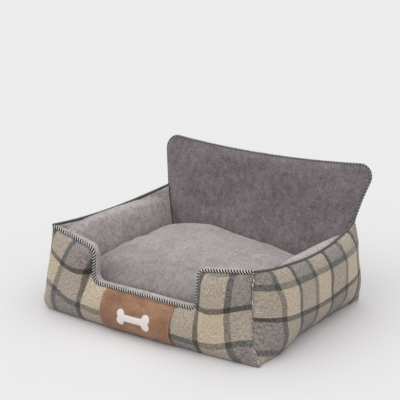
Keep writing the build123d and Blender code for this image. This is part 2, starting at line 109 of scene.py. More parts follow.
def roundedPath(corners, radii, step=1.0 * mm):  # straight runs joined by round corners
    corners = [Vector(c) for c in corners]
    path = [corners[0]]
    for i in range(1, len(corners) - 1):
        before = (corners[i - 1] - corners[i]).normalized()
        after = (corners[i + 1] - corners[i]).normalized()
        half = before.angle(after) / 2
        reach = radii[i - 1] / math.tan(half)
        start, end = corners[i] + before * reach, corners[i] + after * reach
        centre = corners[i] + (before + after).normalized() * radii[i - 1] / math.sin(half)
        turns = max(4, int(radii[i - 1] * (math.pi - 2 * half) / step))
        a, b = start - centre, end - centre
        for k in range(turns + 1):
            path.append(centre + a.slerp(b, k / turns) * radii[i - 1] if k < turns else end)
    path.append(corners[-1])
    return np.array([list(p) for p in path])


def resample(path, count):
    path = np.asarray(path, float)
    run = np.concatenate([[0], np.cumsum(np.linalg.norm(np.diff(path, axis=0), axis=1))])
    wanted = np.linspace(0, run[-1], count)
    return np.stack([np.interp(wanted, run, path[:, k]) for k in range(path.shape[1])], 1)


def gridMesh(name, points, cloth=None, turn=False):  # cloth holds each point's place on the flat cloth
    rows, cols = points.shape[:2]
    me = bpy.data.meshes.new(name)
    faces = []
    for r in range(rows - 1):
        for c in range(cols - 1):
            quad = [r * cols + c, r * cols + c + 1, (r + 1) * cols + c + 1, (r + 1) * cols + c]
            faces.append(quad[::-1] if turn else quad)
    me.from_pydata([tuple(p) for p in points.reshape(-1, 3)], [], faces)
    if cloth is not None:
        layer = me.uv_layers.new(name="cloth")
        flat = cloth.reshape(-1, 2)
        corner = np.array([l.vertex_index for l in me.loops])
        layer.uv.foreach_set("vector", flat[corner].astype(np.float32).ravel())
    me.validate()
    ob = bpy.data.objects.new(name, me)
    bpy.context.scene.collection.objects.link(ob)
    shadeSmooth(ob)
    return ob


def shadeSmooth(ob):
    for p in ob.data.polygons:
        p.use_smooth = True


def settle(ob):  # modifiers made into plain mesh
    graph = bpy.context.evaluated_depsgraph_get()
    graph.update()
    made = bpy.data.meshes.new_from_object(ob.evaluated_get(graph))
    made.name = ob.name
    ob.modifiers.clear()
    ob.data = made
    return ob


def thicken(ob, thickness, rounds=0):  # a real cloth thickness behind the outer face
    solid = ob.modifiers.new("cloth", "SOLIDIFY")
    solid.thickness = thickness
    solid.offset = -1
    if rounds:
        sub = ob.modifiers.new("smooth", "SUBSURF")
        sub.levels = sub.render_levels = rounds
    return settle(ob)


def finishPiece(ob, body, material, stands=()):
    ob.data.materials.clear()
    ob.data.materials.append(material)
    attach(ob, body)
    if stands:
        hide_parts(*stands)
    return ob


# shader writing
def linear(rgb):
    return tuple(c / 12.92 if c <= 0.04045 else ((c + 0.055) / 1.055) ** 2.4 for c in rgb)


def tone(r, g, b):  # a colour as seen, 0 to 255
    return (*linear((r / 255, g / 255, b / 255)), 1.0)


class Wire:
    def __init__(self, look, socket):
        self.look, self.socket = look, socket

    def join(self, other, operation, flip=False):
        a, b = (other, self) if flip else (self, other)
        vector = any(isinstance(x, Wire) and x.socket.type == "VECTOR" for x in (a, b))
        kind = "ShaderNodeVectorMath" if vector else "ShaderNodeMath"
        return self.look.node(kind, {"operation": operation}, {0: a, 1: b})

    def __add__(self, other):
        return self.join(other, "ADD")

    def __radd__(self, other):
        return self.join(other, "ADD", True)

    def __sub__(self, other):
        return self.join(other, "SUBTRACT")

    def __rsub__(self, other):
        return self.join(other, "SUBTRACT", True)

    def __mul__(self, other):
        return self.join(other, "MULTIPLY")

    def __rmul__(self, other):
        return self.join(other, "MULTIPLY", True)

    def __truediv__(self, other):
        return self.join(other, "DIVIDE")

    def __pow__(self, other):
        return self.join(other, "POWER")

    def frac(self):
        return self.look.node("ShaderNodeMath", {"operation": "FRACT"}, {0: self})

    def absolute(self):
        return self.look.node("ShaderNodeMath", {"operation": "ABSOLUTE"}, {0: self})

    def sine(self):
        return self.look.node("ShaderNodeMath", {"operation": "SINE"}, {0: self})

    def atLeast(self, v):
        return self.join(v, "MAXIMUM")


class Look:  # one material being written
    def __init__(self, name):
        self.mat = bpy.data.materials.new(name)
        self.mat.use_nodes = True
        self.tree = self.mat.node_tree
        self.shader = self.tree.nodes["Principled BSDF"]

    def node(self, kind, settings=None, inputs=None, out=0):
        n = self.tree.nodes.new(kind)
        for key, value in (settings or {}).items():
            if key == "stops":
                for i, (place, colour) in enumerate(value):
                    e = n.color_ramp.elements[i] if i < 2 else n.color_ramp.elements.new(place)
                    e.position, e.color = place, colour
            else:
                setattr(n, key, value)
        for key, value in (inputs or {}).items():
            if isinstance(value, Wire):
                self.tree.links.new(value.socket, n.inputs[key])
            else:
                n.inputs[key].default_value = value
        return Wire(self, n.outputs[out])

    def cloth(self):  # metres on the flat cloth
        uv = self.node("ShaderNodeUVMap", {"uv_map": "cloth"})
        parts = self.tree.nodes.new("ShaderNodeSeparateXYZ")
        self.tree.links.new(uv.socket, parts.inputs[0])
        return Wire(self, parts.outputs[0]), Wire(self, parts.outputs[1])

    def place(self):
        return self.node("ShaderNodeTexCoord", out="Object")

    def xyz(self, x, y, z=0.0):
        return self.node("ShaderNodeCombineXYZ", None, {0: x, 1: y, 2: z})

    def grain(self, where, scale, detail=2.0, rough=0.55):
        return self.node("ShaderNodeTexNoise", {"noise_dimensions": "3D"},
                         {"Vector": where, "Scale": scale, "Detail": detail, "Roughness": rough})

    def mix(self, share, a, b):
        n = self.tree.nodes.new("ShaderNodeMix")
        n.data_type = "RGBA"
        for key, value in ((0, share), (6, a), (7, b)):
            if isinstance(value, Wire):
                self.tree.links.new(value.socket, n.inputs[key])
            else:
                n.inputs[key].default_value = value
        return Wire(self, n.outputs[2])

    def between(self, x, low, high, outLow=0.0, outHigh=1.0):
        return self.node("ShaderNodeMapRange", {"interpolation_type": "SMOOTHSTEP"},
                         {"Value": x, "From Min": low, "From Max": high,
                          "To Min": outLow, "To Max": outHigh})

    def dim(self, colour, by):  # a colour times a number
        return self.node("ShaderNodeVectorMath", {"operation": "SCALE"}, {0: colour, "Scale": by})

    def bump(self, height, distance, strength=1.0, under=None):
        values = {"Height": height, "Distance": distance, "Strength": strength}
        if under is not None:
            values["Normal"] = under
        return self.node("ShaderNodeBump", None, values)

    def put(self, **sockets):
        for key, value in sockets.items():
            socket = self.shader.inputs[key.replace("_", " ")]
            if isinstance(value, Wire):
                self.tree.links.new(value.socket, socket)
            else:
                socket.default_value = value
        return self.mat


plaid = {
    "across": 119 * mm, "up": 134 * mm,   # one full set of stripes
    "brown": 10.5 * mm, "green": 12 * mm,   # widths
    "cream": tone(210, 195, 171), "creamFleck": tone(168, 152, 130),
    "grey": tone(164, 155, 149), "greyFleck": tone(98, 91, 89),
    "brownYarn": tone(70, 61, 60), "brownFleck": tone(32, 27, 29),
    "greenYarn": tone(84, 89, 85), "greenFleck": tone(38, 43, 43),
    "yarn": 1.9 * mm,
}


def plaidCloth(name, brownU, brownV):  # brownU and brownV are where a brown stripe lies
    k = Look(name)
    u, v = k.cloth()
    wobble = k.grain(k.xyz(u * 14.0, v * 14.0), 1.0, 2.0) - 0.5
    u = u + wobble * (2.2 * mm)
    v = v - wobble * (1.6 * mm)

    def yarnSet(a, brownAt, repeat, fleck):
        phase = ((a - brownAt) / repeat + (fleck - 0.5) * 0.012).frac()
        edge = 0.9 * mm / repeat
        brownHalf = plaid["brown"] / 2 / repeat
        greenHalf = plaid["green"] / 2 / repeat
        fromBrown = 0.5 - (phase - 0.5).absolute()   # 0 at the brown stripe
        fromGreen = (phase - 0.5).absolute()         # 0 at the green stripe
        some = k.between(fleck, 0.36, 0.66)
        field = k.between(phase, 0.5 - edge, 0.5 + edge)
        base = k.mix(field, k.mix(some, plaid["cream"], plaid["creamFleck"]),
                     k.mix(some, plaid["grey"], plaid["greyFleck"]))
        brown = k.between(fromBrown, brownHalf + edge, brownHalf - edge)
        green = k.between(fromGreen, greenHalf + edge, greenHalf - edge)
        base = k.mix(brown, base, k.mix(some, plaid["brownYarn"], plaid["brownFleck"]))
        return k.mix(green, base, k.mix(some, plaid["greenYarn"], plaid["greenFleck"])), brown + green * 0.5

    slubU = k.grain(k.xyz(u * (1 / plaid["yarn"]), v * 170.0, 3.0), 1.0, 2.0, 0.6)
    slubV = k.grain(k.xyz(u * 170.0, v * (1 / plaid["yarn"]), 9.0), 1.0, 2.0, 0.6)
    warp, warpStripe = yarnSet(u, brownU, plaid["across"], slubU)
    weft, weftStripe = yarnSet(v, brownV, plaid["up"], slubV)
    over = k.between(slubU - slubV, -0.3, 0.3)
    colour = k.mix(over * 0.4 + 0.3, warp, weft)
    colour = k.mix(warpStripe * 0.5, colour, warp)  # the stripes are packed closer, so they cover more
    colour = k.mix(weftStripe * 0.5, colour, weft)
    fuzzU = k.grain(k.xyz(u * 520.0, v * 150.0, 5.0), 1.0, 2.0, 0.7)
    fuzzV = k.grain(k.xyz(u * 150.0, v * 520.0, 6.0), 1.0, 2.0, 0.7)
    fuzz = fuzzU * 0.5 + fuzzV * 0.5
    blotch = k.grain(k.xyz(u * 26.0, v * 26.0, 7.0), 1.0, 2.0)
    shade = 0.82 + slubU * 0.14 + slubV * 0.14 + (fuzz - 0.5) * 2.0 + (blotch - 0.5) * 0.16
    colour = k.dim(colour, shade.atLeast(0.2))
    thread = math.tau / plaid["yarn"]
    cross = (u * thread + slubV * 5.0).sine() * (v * thread + slubU * 5.0).sine()
    colour = k.dim(colour, cross * 0.2 + 1.0)
    weave = cross * 0.5 + slubU + slubV + fuzz * 0.6
    normal = k.bump(weave, 0.55 * mm, 0.9)
    return k.put(Base_Color=colour, Roughness=0.86 + (fuzz - 0.5) * 0.12, Normal=normal,
                 Sheen_Weight=0.2, Sheen_Roughness=0.5, Specular_IOR_Level=0.2)


def plushPile(name, colour, lightTip, lean=(1.0, 1.0, 1.0), mottle=0.16, paintedLightRamp=None):
    k = Look(name)
    where = k.place()
    combed = k.node("ShaderNodeVectorMath", {"operation": "MULTIPLY"}, {0: where, 1: lean})
    tuft = k.grain(combed, 330.0, 3.0, 0.7)
    stroke = k.grain(combed, 90.0, 3.0, 0.6)
    wide = k.grain(where, 17.0, 3.0, 0.55)
    share = k.between(tuft * 0.55 + stroke * 0.3 + wide * 0.15, 0.32, 0.68)
    base = k.mix(share, colour, lightTip)
    shade = 1.0 - mottle + wide * (mottle * 1.2) + (stroke - 0.5) * 0.16 + (tuft - 0.5) * 0.30
    if paintedLightRamp:  # painted light and shade: the colour is ramped lighter or darker along one axis of the piece
        axis, low, high, amount = paintedLightRamp
        parts = k.tree.nodes.new("ShaderNodeSeparateXYZ")
        k.tree.links.new(where.socket, parts.inputs[0])
        shade = shade * k.between(Wire(k, parts.outputs[axis]), low, high, amount, 1.0)
    height = tuft * 0.7 + stroke * 1.0
    normal = k.bump(height, 1.1 * mm, 0.75)
    return k.put(Base_Color=k.dim(base, shade), Roughness=0.93 + (tuft - 0.5) * 0.08, Normal=normal,
                 Sheen_Weight=0.35, Sheen_Roughness=0.35, Specular_IOR_Level=0.12)


def yarn(name, colour, other, scale=1500.0):
    k = Look(name)
    where = k.place()
    fibre = k.grain(where, scale, 2.0, 0.6)
    wide = k.grain(where, 60.0, 2.0)
    base = k.mix(k.between(fibre * 0.7 + wide * 0.3, 0.3, 0.7), colour, other)
    return k.put(Base_Color=base, Roughness=0.78 + fibre * 0.15, Normal=k.bump(fibre, 0.25 * mm, 0.6),
                 Sheen_Weight=0.2, Specular_IOR_Level=0.25)


def suede(name):
    k = Look(name)
    where = k.place()
    nap = k.grain(where, 520.0, 3.0, 0.65)
    cloud = k.grain(where, 34.0, 4.0, 0.6)
    stretch = k.node("ShaderNodeVectorMath", {"operation": "MULTIPLY"}, {0: where, 1: (1.0, 1.0, 2.2)})
    worn = k.grain(stretch, 14.0, 4.0, 0.6)
    streak = k.grain(stretch, 60.0, 3.0, 0.6)
    base = k.mix(k.between(cloud * 0.5 + worn * 0.5, 0.34, 0.66), tone(122, 88, 67), tone(154, 116, 91))
    base = k.mix(k.between(streak, 0.6, 0.74) * 0.5, base, tone(176, 142, 118))
    base = k.dim(base, 0.86 + nap * 0.28)
    height = nap * 0.3 + cloud * 0.6 + streak * 0.3
    return k.put(Base_Color=base, Roughness=0.72 + cloud * 0.15, Normal=k.bump(height, 0.5 * mm, 0.7),
                 Sheen_Weight=0.2, Specular_IOR_Level=0.2)


def wovenCloth(name, colour, other, pitch, dots=None):
    k = Look(name)
    u, v = k.cloth()
    thread = math.tau / pitch
    weave = (u * thread).sine() * (v * thread).sine()
    speck = k.grain(k.xyz(u * 500.0, v * 500.0), 1.0, 2.0)
    base = k.mix(k.between(weave * 0.3 + speck, 0.3, 0.75), colour, other)
    if dots:
        du = ((u / dots["gap"]).frac() - 0.5) * dots["gap"]
        dv = ((v / dots["gap"]).frac() - 0.5) * dots["gap"]
        away = (du * du + dv * dv) ** 0.5
        base = k.mix(k.between(away, dots["radius"], dots["radius"] * 0.85), base, dots["colour"])
    return k.put(Base_Color=base, Roughness=0.85 + speck * 0.1,
                 Normal=k.bump(weave * 0.4 + speck, 0.3 * mm, 0.7), Specular_IOR_Level=0.25)


def satinStitch(name, colour, other):  # close threads laid side by side
    k = Look(name)
    u, v = k.cloth()
    lean = u * 0.94 + v * 0.34
    thread = (lean * (math.tau / (0.75 * mm))).sine() * 0.5 + 0.5
    fibre = k.grain(k.xyz(lean * 1500.0, v * 160.0), 1.0, 2.0)
    base = k.mix(thread * 0.6 + fibre * 0.4, colour, other)
    return k.put(Base_Color=base, Roughness=0.55 + fibre * 0.15,
                 Normal=k.bump(thread + fibre * 0.4, 0.3 * mm, 0.7), Specular_IOR_Level=0.35)


def metal(name):
    k = Look(name)
    where = k.place()
    fine = k.grain(where, 900.0, 3.0, 0.6)
    wide = k.grain(where, 180.0, 2.0)
    base = k.mix(k.between(wide, 0.3, 0.7), tone(128, 126, 122), tone(168, 166, 160))
    return k.put(Base_Color=base, Metallic=1.0, Roughness=0.28 + fine * 0.2,
                 Normal=k.bump(fine, 0.05 * mm, 0.5))


def nylon(name):
    k = Look(name)
    where = k.place()
    fine = k.grain(where, 1400.0, 2.0, 0.6)
    base = k.mix(k.between(fine, 0.3, 0.7), tone(52, 49, 49), tone(78, 74, 73))
    return k.put(Base_Color=base, Roughness=0.4 + fine * 0.2, Normal=k.bump(fine, 0.08 * mm, 0.5))


frontPlaid = plaidCloth("plaid_front", -140 * mm, -97.5 * mm)
rightPlaid = plaidCloth("plaid_right", 93 * mm, 61 * mm)
leftPlaid = plaidCloth("plaid_left", 70 * mm, 78 * mm)
backPlaid = plaidCloth("plaid_back", 22 * mm, 104 * mm)
wallPlush = plushPile("plush_walls", tone(145, 137, 136), tone(192, 184, 182), (1.0, 1.0, 0.7))
# painted shade and painted light: the backrest plush is the same plush drawn darker, partly as painted shade and
# partly for its pile direction, and its part below 0.12 m is drawn up to 1.22 times lighter as painted light, fading
# out by 0.21 m
backPlush = plushPile("plush_backrest", tone(96, 89, 91), tone(136, 128, 129), (1.0, 1.0, 0.8), 0.2,
                      (2, 0.12, 0.21, 1.22))
# painted shade: the cushion plush is drawn darker towards its front, down to 0.78 times at y = -0.17 m, fading out
# by y = 0
seatPlush = plushPile("plush_cushion", tone(136, 129, 129), tone(178, 171, 169), (1.6, 0.7, 1.0), 0.16,
                     (1, -0.17, 0.0, 0.78))
darkStrand = yarn("cord_dark", tone(22, 22, 24), tone(44, 44, 46))
paleStrand = yarn("cord_pale", tone(196, 195, 190), tone(232, 231, 226))
greyStrand = yarn("cord_grey", tone(92, 88, 88), tone(128, 124, 122))
labelSuede = suede("label_suede")
creamThread = yarn("thread_cream", tone(206, 196, 188), tone(236, 230, 224), 900.0)
seamThread = yarn("seam_thread", tone(120, 112, 106), tone(160, 150, 140), 800.0)
tanThread = yarn("thread_tan", tone(176, 138, 108), tone(204, 168, 138), 900.0)
baseCloth = wovenCloth("base_cloth", tone(40, 40, 42), tone(60, 60, 62), 1.6 * mm,
                       {"gap": 9 * mm, "radius": 1.6 * mm, "colour": tone(24, 24, 26)})
liningCloth = wovenCloth("lining_cloth", tone(128, 122, 118), tone(152, 146, 142), 1.2 * mm)
tapeCloth = wovenCloth("zip_tape_cloth", tone(54, 51, 51), tone(80, 76, 76), 0.9 * mm)
underCloth = wovenCloth("cushion_under_cloth", tone(112, 107, 105), tone(134, 128, 126), 1.3 * mm)
boneThread = satinStitch("bone_satin", tone(214, 206, 200), tone(244, 240, 236))
zipNylon = nylon("zip_nylon")
zipMetal = metal("zip_metal")
print("materials written")


# the shape of the bed, all in metres
bed = {
    "cornerLean": 18 * mm, "leanFrom": 15 * mm, "leanTo": 158 * mm,  # the side corners lean in between these
    "tipFlare": 2.5 * mm, "flareFrom": 145 * mm,  # and their tips turn out again
    "cornerFront": [(0, -200 * mm), (60 * mm, -198 * mm), (120 * mm, -193 * mm), (171 * mm, -187 * mm)],
    "cornerRear": [(0, 200 * mm), (90 * mm, 200 * mm), (171 * mm, 196 * mm)],
    "junctionSide": [(14 * mm, 200 * mm), (90 * mm, 213 * mm), (130 * mm, 223.5 * mm),
                     (171 * mm, 233.5 * mm)],
    "junctionFront": [(14 * mm, -160 * mm), (90 * mm, -173 * mm), (171 * mm, -186 * mm)],
    "junctionRear": [(14 * mm, 157 * mm), (90 * mm, 177.5 * mm), (171 * mm, 195.5 * mm)],
    "footDrawn": 9.5 * mm,  # the right wall's foot is drawn in along its length
    "footPuff": 17 * mm, "puffAt": -135 * mm, "puffReach": 58 * mm,  # but stands out near the front corner
    "floorBowLeft": [(-200 * mm, 0), (-100 * mm, -5 * mm), (0, -8 * mm), (110 * mm, -9 * mm), (200 * mm, 0)],
    "sideSag": 17 * mm, "sideRimBow": 20.5 * mm, "sidePuff": 27 * mm,
    "earRight": 13 * mm, "earLeft": 5 * mm,
    "entryHalf": 128 * mm, "entryTopLeft": 146 * mm, "entryTopRight": 151 * mm,
    "frontPuff": 31 * mm, "postPuff": 21 * mm, "rearPuff": 20 * mm,
    "cloth": 1.6 * mm, "plush": 2.6 * mm,
}


def roundOff(d, width):  # 0 at a seam, 1 from width inwards, round as a filled edge
    return np.sqrt(np.clip(1 - (1 - np.clip(d / width, 0, 1)) ** 2, 0, 1))


def cornerX(z):
    lean = bed["cornerLean"] * smooth(bed["leanFrom"], bed["leanTo"], z)
    return halfWide - lean + bed["tipFlare"] * smooth(bed["flareFrom"], 171 * mm, z)


def cornerF(z):
    return curveThrough(bed["cornerFront"], z)


def cornerR(z):
    return curveThrough(bed["cornerRear"], z)


def floorBow(side, y):  # how far a side wall's foot stands out from the straight line between its corners
    if side < 0:
        return curveThrough(bed["floorBowLeft"], y)
    along = np.clip(1 - (np.asarray(y, float) / (200 * mm)) ** 8, 0, 1)
    puff = bed["footPuff"] * np.exp(-((y - bed["puffAt"]) / bed["puffReach"]) ** 2)
    return along * (puff - bed["footDrawn"])


def cornerFrontX(side, z):  # the front corners, puckered out near the floor
    ear = bed["earRight"] * np.exp(-(z / (24 * mm)) ** 2)
    heel = bed["earLeft"] * np.exp(-((z - 18 * mm) / (15 * mm)) ** 2) - 8 * mm * np.exp(-(z / (5 * mm)) ** 2)
    return cornerX(z) + np.where(side > 0, ear, heel)


def lowSwell(z, width):  # fills out slowly above the floor seam
    return 1 - (1 - np.clip(z / width, 0, 1)) ** 2


def frontSeamY(z):  # the piped seam leans a little, and the floor seam is drawn in
    upper = tipFront - (tipZ - z) / (tipZ - lipZ) * 10 * mm
    lower = -197 * mm - (lipZ - z) / lipZ * 7 * mm
    return np.where(z > lipZ, upper, lower)


entryPath = roundedPath(
    [(-234.5 * mm, 0, 171 * mm), (-bed["entryHalf"], 0, bed["entryTopLeft"]),
     (-bed["entryHalf"] + 3 * mm, 0, lipZ), (bed["entryHalf"] - 2 * mm, 0, lipZ - 1 * mm),
     (bed["entryHalf"], 0, bed["entryTopRight"]), (234.5 * mm, 0, 171 * mm)],
    [16 * mm, 21 * mm, 17 * mm, 10 * mm])
frontSeam = resample(entryPath, 301)
frontSeam[:, 1] = frontSeamY(frontSeam[:, 2])


def seamDistance(x, z, path):  # from points of the front view to the piped seam
    flat = np.stack([np.ravel(x), np.ravel(z)], 1)
    a, b = path[:-1][:, [0, 2]], path[1:][:, [0, 2]]
    best = np.full(len(flat), 9.0)
    for p, q in zip(a, b):
        d = q - p
        t = np.clip(((flat - p) @ d) / (d @ d), 0, 1)
        best = np.minimum(best, np.hypot(*(flat - p - t[:, None] * d).T))
    return best.reshape(np.shape(x))


seamCoarse = frontSeam[::3]


def frontFace(x, z):  # y of the plaid face of the front wall
    x, z = np.asarray(x, float), np.asarray(z, float)
    corner = cornerFrontX(x, z)
    across = np.clip(np.abs(x) / corner, 0, 1)
    seam = frontSeamY(z) + (cornerF(z) - frontSeamY(z)) * across ** 3
    top = seamDistance(x, z, seamCoarse)
    gap = np.clip(corner - np.abs(x), 0, 1)
    swell = roundOff(top, 40 * mm) * lowSwell(z + 2 * mm, 40 * mm) * roundOff(gap, 62 * mm)
    reach = bed["postPuff"] + (bed["frontPuff"] - bed["postPuff"]) * np.clip(1 - (x / (190 * mm)) ** 2, 0, 1)
    fold = (np.exp(-((z - 0.75 * (x - 214 * mm)) / (4.5 * mm)) ** 2) * smooth(212 * mm, 232 * mm, x)
            * smooth(46 * mm, 20 * mm, z))
    return seam - reach * swell ** 0.9 + 4 * mm * fold * smooth(0, 8 * mm, gap)


def fanGrid(path, floorZ, floorHalf, rows, soften=34, ease=1.0):  # columns fan from the seam to the floor
    xs = np.convolve(np.pad(path[:, 0], soften, mode="edge"), np.ones(2 * soften + 1) / (2 * soften + 1),
                     "valid")
    xs = (xs - xs[0]) / (xs[-1] - xs[0]) * 2 * floorHalf - floorHalf
    s = (1 - np.cos(np.linspace(0, 1, rows) * math.pi)) / 2
    s = s * ease + np.linspace(0, 1, rows) * (1 - ease)
    x = xs[None, :] * (1 - s[:, None]) + path[None, :, 0] * s[:, None]
    z = floorZ * (1 - s[:, None]) + path[None, :, 2] * s[:, None]
    return x, z


def frontCloth(x, z):  # the cloth is pulled up at the corners and slants on the left post
    rise = 24 * mm * smooth(150 * mm, 245 * mm, np.abs(x)) ** 1.3
    up = z + 0.04 * x - rise
    slant = 10 * mm - 46 * mm * np.clip((z - 35 * mm) / (137 * mm), 0, 1) ** 1.3
    slant = slant + 0.19 * np.clip(-x - 180 * mm, -60 * mm, 60 * mm) * smooth(110 * mm, 60 * mm, z)
    spread = 20 * mm * np.clip(1 - z / (100 * mm), 0, 1) * (np.clip(x, 0, 1) / (215 * mm)) ** 4
    left = smooth(-60 * mm, -90 * mm, x)
    across = x - 40 * mm * smooth(-80 * mm, 80 * mm, x) + slant * left - spread
    return np.stack([across, -up], -1)


def sideCloth(y, z):
    lowest = 10 * mm
    rise = np.where(y < lowest, 26 * mm * ((y - lowest) / (210 * mm)) ** 2,
                    18 * mm * ((y - lowest) / (190 * mm)) ** 2)
    drift = 14 * mm * smooth(152 * mm, 100 * mm, z) + 8 * mm * smooth(80 * mm, 0, z)
    drift = drift * smooth(-205 * mm, -130 * mm, y) - 6 * mm * smooth(-150 * mm, -200 * mm, y)
    return np.stack([drift - y, z - rise * (1.25 - 0.55 * smooth(60 * mm, 130 * mm, z))], -1)


def frontWall():
    x, z = fanGrid(frontSeam, 0.8 * mm, halfWide, 34)
    edge = halfWide + (tipX - halfWide) * z / tipZ
    x = x + np.sign(x) * (cornerFrontX(x, z) - edge) * np.clip(np.abs(x) / edge, 0, 1) ** 6
    y = frontFace(x, z)
    points = np.stack([x, y, z], -1)
    top = seamDistance(x, z, seamCoarse)
    inner = roundOff(top, 26 * mm) * roundOff(z, 20 * mm)
    points[..., 1] += (ripple(points, 95 * mm, 3) * 3.2 + ripple(points, 34 * mm, 5) * 0.9) * mm * inner
    pucker = np.sin(np.arange(x.shape[1]) * 1.15)[None, :] * np.exp(-top / (9 * mm)) * (
        1 - np.exp(-top / (1.5 * mm)))
    points[..., 1] += pucker * 0.7 * mm
    floorPucker = ripple(np.stack([x, 0 * x, 0 * x], -1), 16 * mm, 8) * np.exp(-z / (14 * mm))
    points[..., 1] += floorPucker * 2.2 * mm
    ob = gridMesh("front_wall_plaid", points, frontCloth(x, z))
    thicken(ob, bed["cloth"])
    return ob


def sideTop(y):  # height of a side wall's piped edge
    t = (y - 4.5 * mm) / (191.5 * mm)
    return tipZ - bed["sideSag"] * (1 - np.clip(t * t, 0, 1.2))


def sideSurface(y, s, side=1):  # x, z of a side wall's plaid face, s from the floor to the piping
    z = s * sideTop(y)
    t = (y - 4.5 * mm) / (195 * mm)
    bow = floorBow(side, y) * (1 - s) ** 1.5 + bed["sideRimBow"] * s * np.clip(1 - t * t, 0, 1)
    corner = np.minimum(y - cornerF(z), cornerR(z) - y)
    swell = roundOff((1 - s) * sideTop(y), 46 * mm) * lowSwell(z + 1 * mm, 62 * mm) * roundOff(
        corner, 70 * mm)
    ear = (cornerFrontX(side, z) - cornerX(z)) * np.exp(-np.clip(y - cornerF(z), 0, 1) / (45 * mm))
    return cornerX(z) + bow + ear + bed["sidePuff"] * swell, z


def sideWall(name, side, seed):
    s = (1 - np.cos(np.linspace(0, 1, 36) * math.pi)) / 2
    t = (1 - np.cos(np.linspace(0, 1, 110) * math.pi)) / 2 * 0.35 + np.linspace(0, 1, 110) * 0.65
    s, t = np.meshgrid(s, t, indexing="ij")
    z = s * sideTop(-194 * mm + 392 * mm * t)
    y = cornerF(z) + (cornerR(z) - cornerF(z)) * t
    x, z = sideSurface(y, s, side)
    z = np.maximum(z, 0.8 * mm)
    points = np.stack([x, y, z], -1)
    inner = roundOff((1 - s) * sideTop(y), 26 * mm) * roundOff(z, 22 * mm) * roundOff(
        np.minimum(t, 1 - t) * 0.39, 30 * mm)
    points[..., 0] += (ripple(points, 100 * mm, seed) * 3.4 + ripple(points, 36 * mm, seed + 2) * 0.9) * mm * inner
    away = (1 - s) * sideTop(y)
    points[..., 0] += (np.sin(np.arange(110) * 1.9)[None, :] * np.exp(-away / (9 * mm))
                       * (1 - np.exp(-away / (1.5 * mm))) * 0.6 * mm)
    points[..., 0] += ripple(np.stack([y, 0 * y, 0 * y], -1), 17 * mm, seed + 4) * np.exp(-z / (14 * mm)) * 2.0 * mm
    points[..., 0] *= side
    ob = gridMesh(name, points, sideCloth(y, z), turn=side < 0)
    thicken(ob, bed["cloth"])
    return ob


# the backrest's outline, from the floor corner up and over its rounded upper corner
panelCorner = 25 * mm
panelTopSag = 10 * mm
flareX = backHalf
panelSide = [(cornerX(z), z) for z in np.linspace(0.8, 168, 24) * mm]
panelUpper = roundedPath([(234.5 * mm, 0, 171 * mm), (flareX + 6 * mm, 0, backTopZ + 2 * mm),
                          (0.0, 0, backTopZ + 0.5 * mm)], [panelCorner])
panelUpper = [(p[0], p[2]) for p in panelUpper[:-1]]


def leanY(z):  # y of the backrest's piped seam
    low = 155 * mm + 41 * mm * z / tipZ
    high = tipRear + 28 * mm * (z - tipZ) / (backTopZ + 2 * mm - tipZ)
    return np.where(z < tipZ, low, high)


def panelGrid(outlinePoints, rows, cols):  # rows up, columns across, of the backrest's front view
    edge = resample(np.array(outlinePoints, float), rows)
    t = np.sin(np.linspace(-0.5, 0.5, cols) * math.pi) * 0.5 + np.linspace(-1, 1, cols) * 0.5
    s = np.linspace(0, 1, rows)[:, None]
    x = edge[:, :1] * t[None, :]
    z = edge[:, 1:] - panelTopSag * (1 - t[None, :] ** 2) * s ** 5
    inFromSide = edge[:, :1] * (1 - np.abs(t[None, :]))
    topZ = edge[-1, 1] - panelTopSag * (1 - t[None, :] ** 2)
    return x, z, inFromSide, np.maximum(topZ - z, 0)


def backrestRear():
    x, z, side, top = panelGrid(panelSide + panelUpper, 74, 110)
    seam = np.where(z < tipZ, cornerR(z), leanY(z))
    swell = roundOff(side, 60 * mm) * roundOff(top, 40 * mm) * roundOff(z - 40 * mm, 40 * mm)
    reach = bed["rearPuff"] - 3 * mm * np.exp(-((z - 172 * mm) / (22 * mm)) ** 2)
    zipRoom = smooth(166 * mm, 158 * mm, np.abs(x)) * smooth(44 * mm, 39 * mm, z) * smooth(
        10 * mm, 14 * mm, z)
    seam = seam - 1.4 * mm * zipRoom
    y = seam + reach * swell
    points = np.stack([x, y, z], -1)
    inner = roundOff(side, 26 * mm) * roundOff(top, 26 * mm) * roundOff(z - 42 * mm, 26 * mm)
    points[..., 1] += (ripple(points, 100 * mm, 31) * 3.0 + ripple(points, 36 * mm, 33) * 0.9) * mm * inner
    ob = gridMesh("backrest_rear_plaid", points, np.stack([-x, z], -1), turn=True)
    thicken(ob, bed["cloth"])
    return ob


def backrestFront():
    low = [(curveThrough(bed["junctionSide"], z), z) for z in np.linspace(14, 168, 24) * mm]
    x, z, side, top = panelGrid(low + panelUpper, 74, 120)
    seam = leanY(z)
    reach = curveThrough([(0, 0), (93 * mm, 3.5 * mm), (150 * mm, 8 * mm), (200 * mm, 10 * mm),
                          (285 * mm, 8 * mm)], z)
    swell = roundOff(side, 34 * mm) * roundOff(top, 30 * mm)
    y = seam - reach * swell
    points = np.stack([x, y, z], -1)
    inner = roundOff(side, 30 * mm) * roundOff(top, 26 * mm)
    points[..., 1] += (ripple(points, 120 * mm, 41) * 2.6 + ripple(points, 40 * mm, 43) * 0.8) * mm * inner
    ob = gridMesh("backrest_plush", points, np.stack([x, z], -1))
    thicken(ob, bed["plush"])
    return ob


sideSection = [  # across a side wall at its middle: share down the plush, x, z
    (0, 253.5, 154), (0.05, 252, 158), (0.10, 248, 160.5), (0.17, 240.5, 160), (0.25, 232.5, 155),
    (0.34, 225.5, 145), (0.46, 219.5, 128), (0.62, 212.5, 102), (0.82, 206, 60), (1.0, 201, 14)]


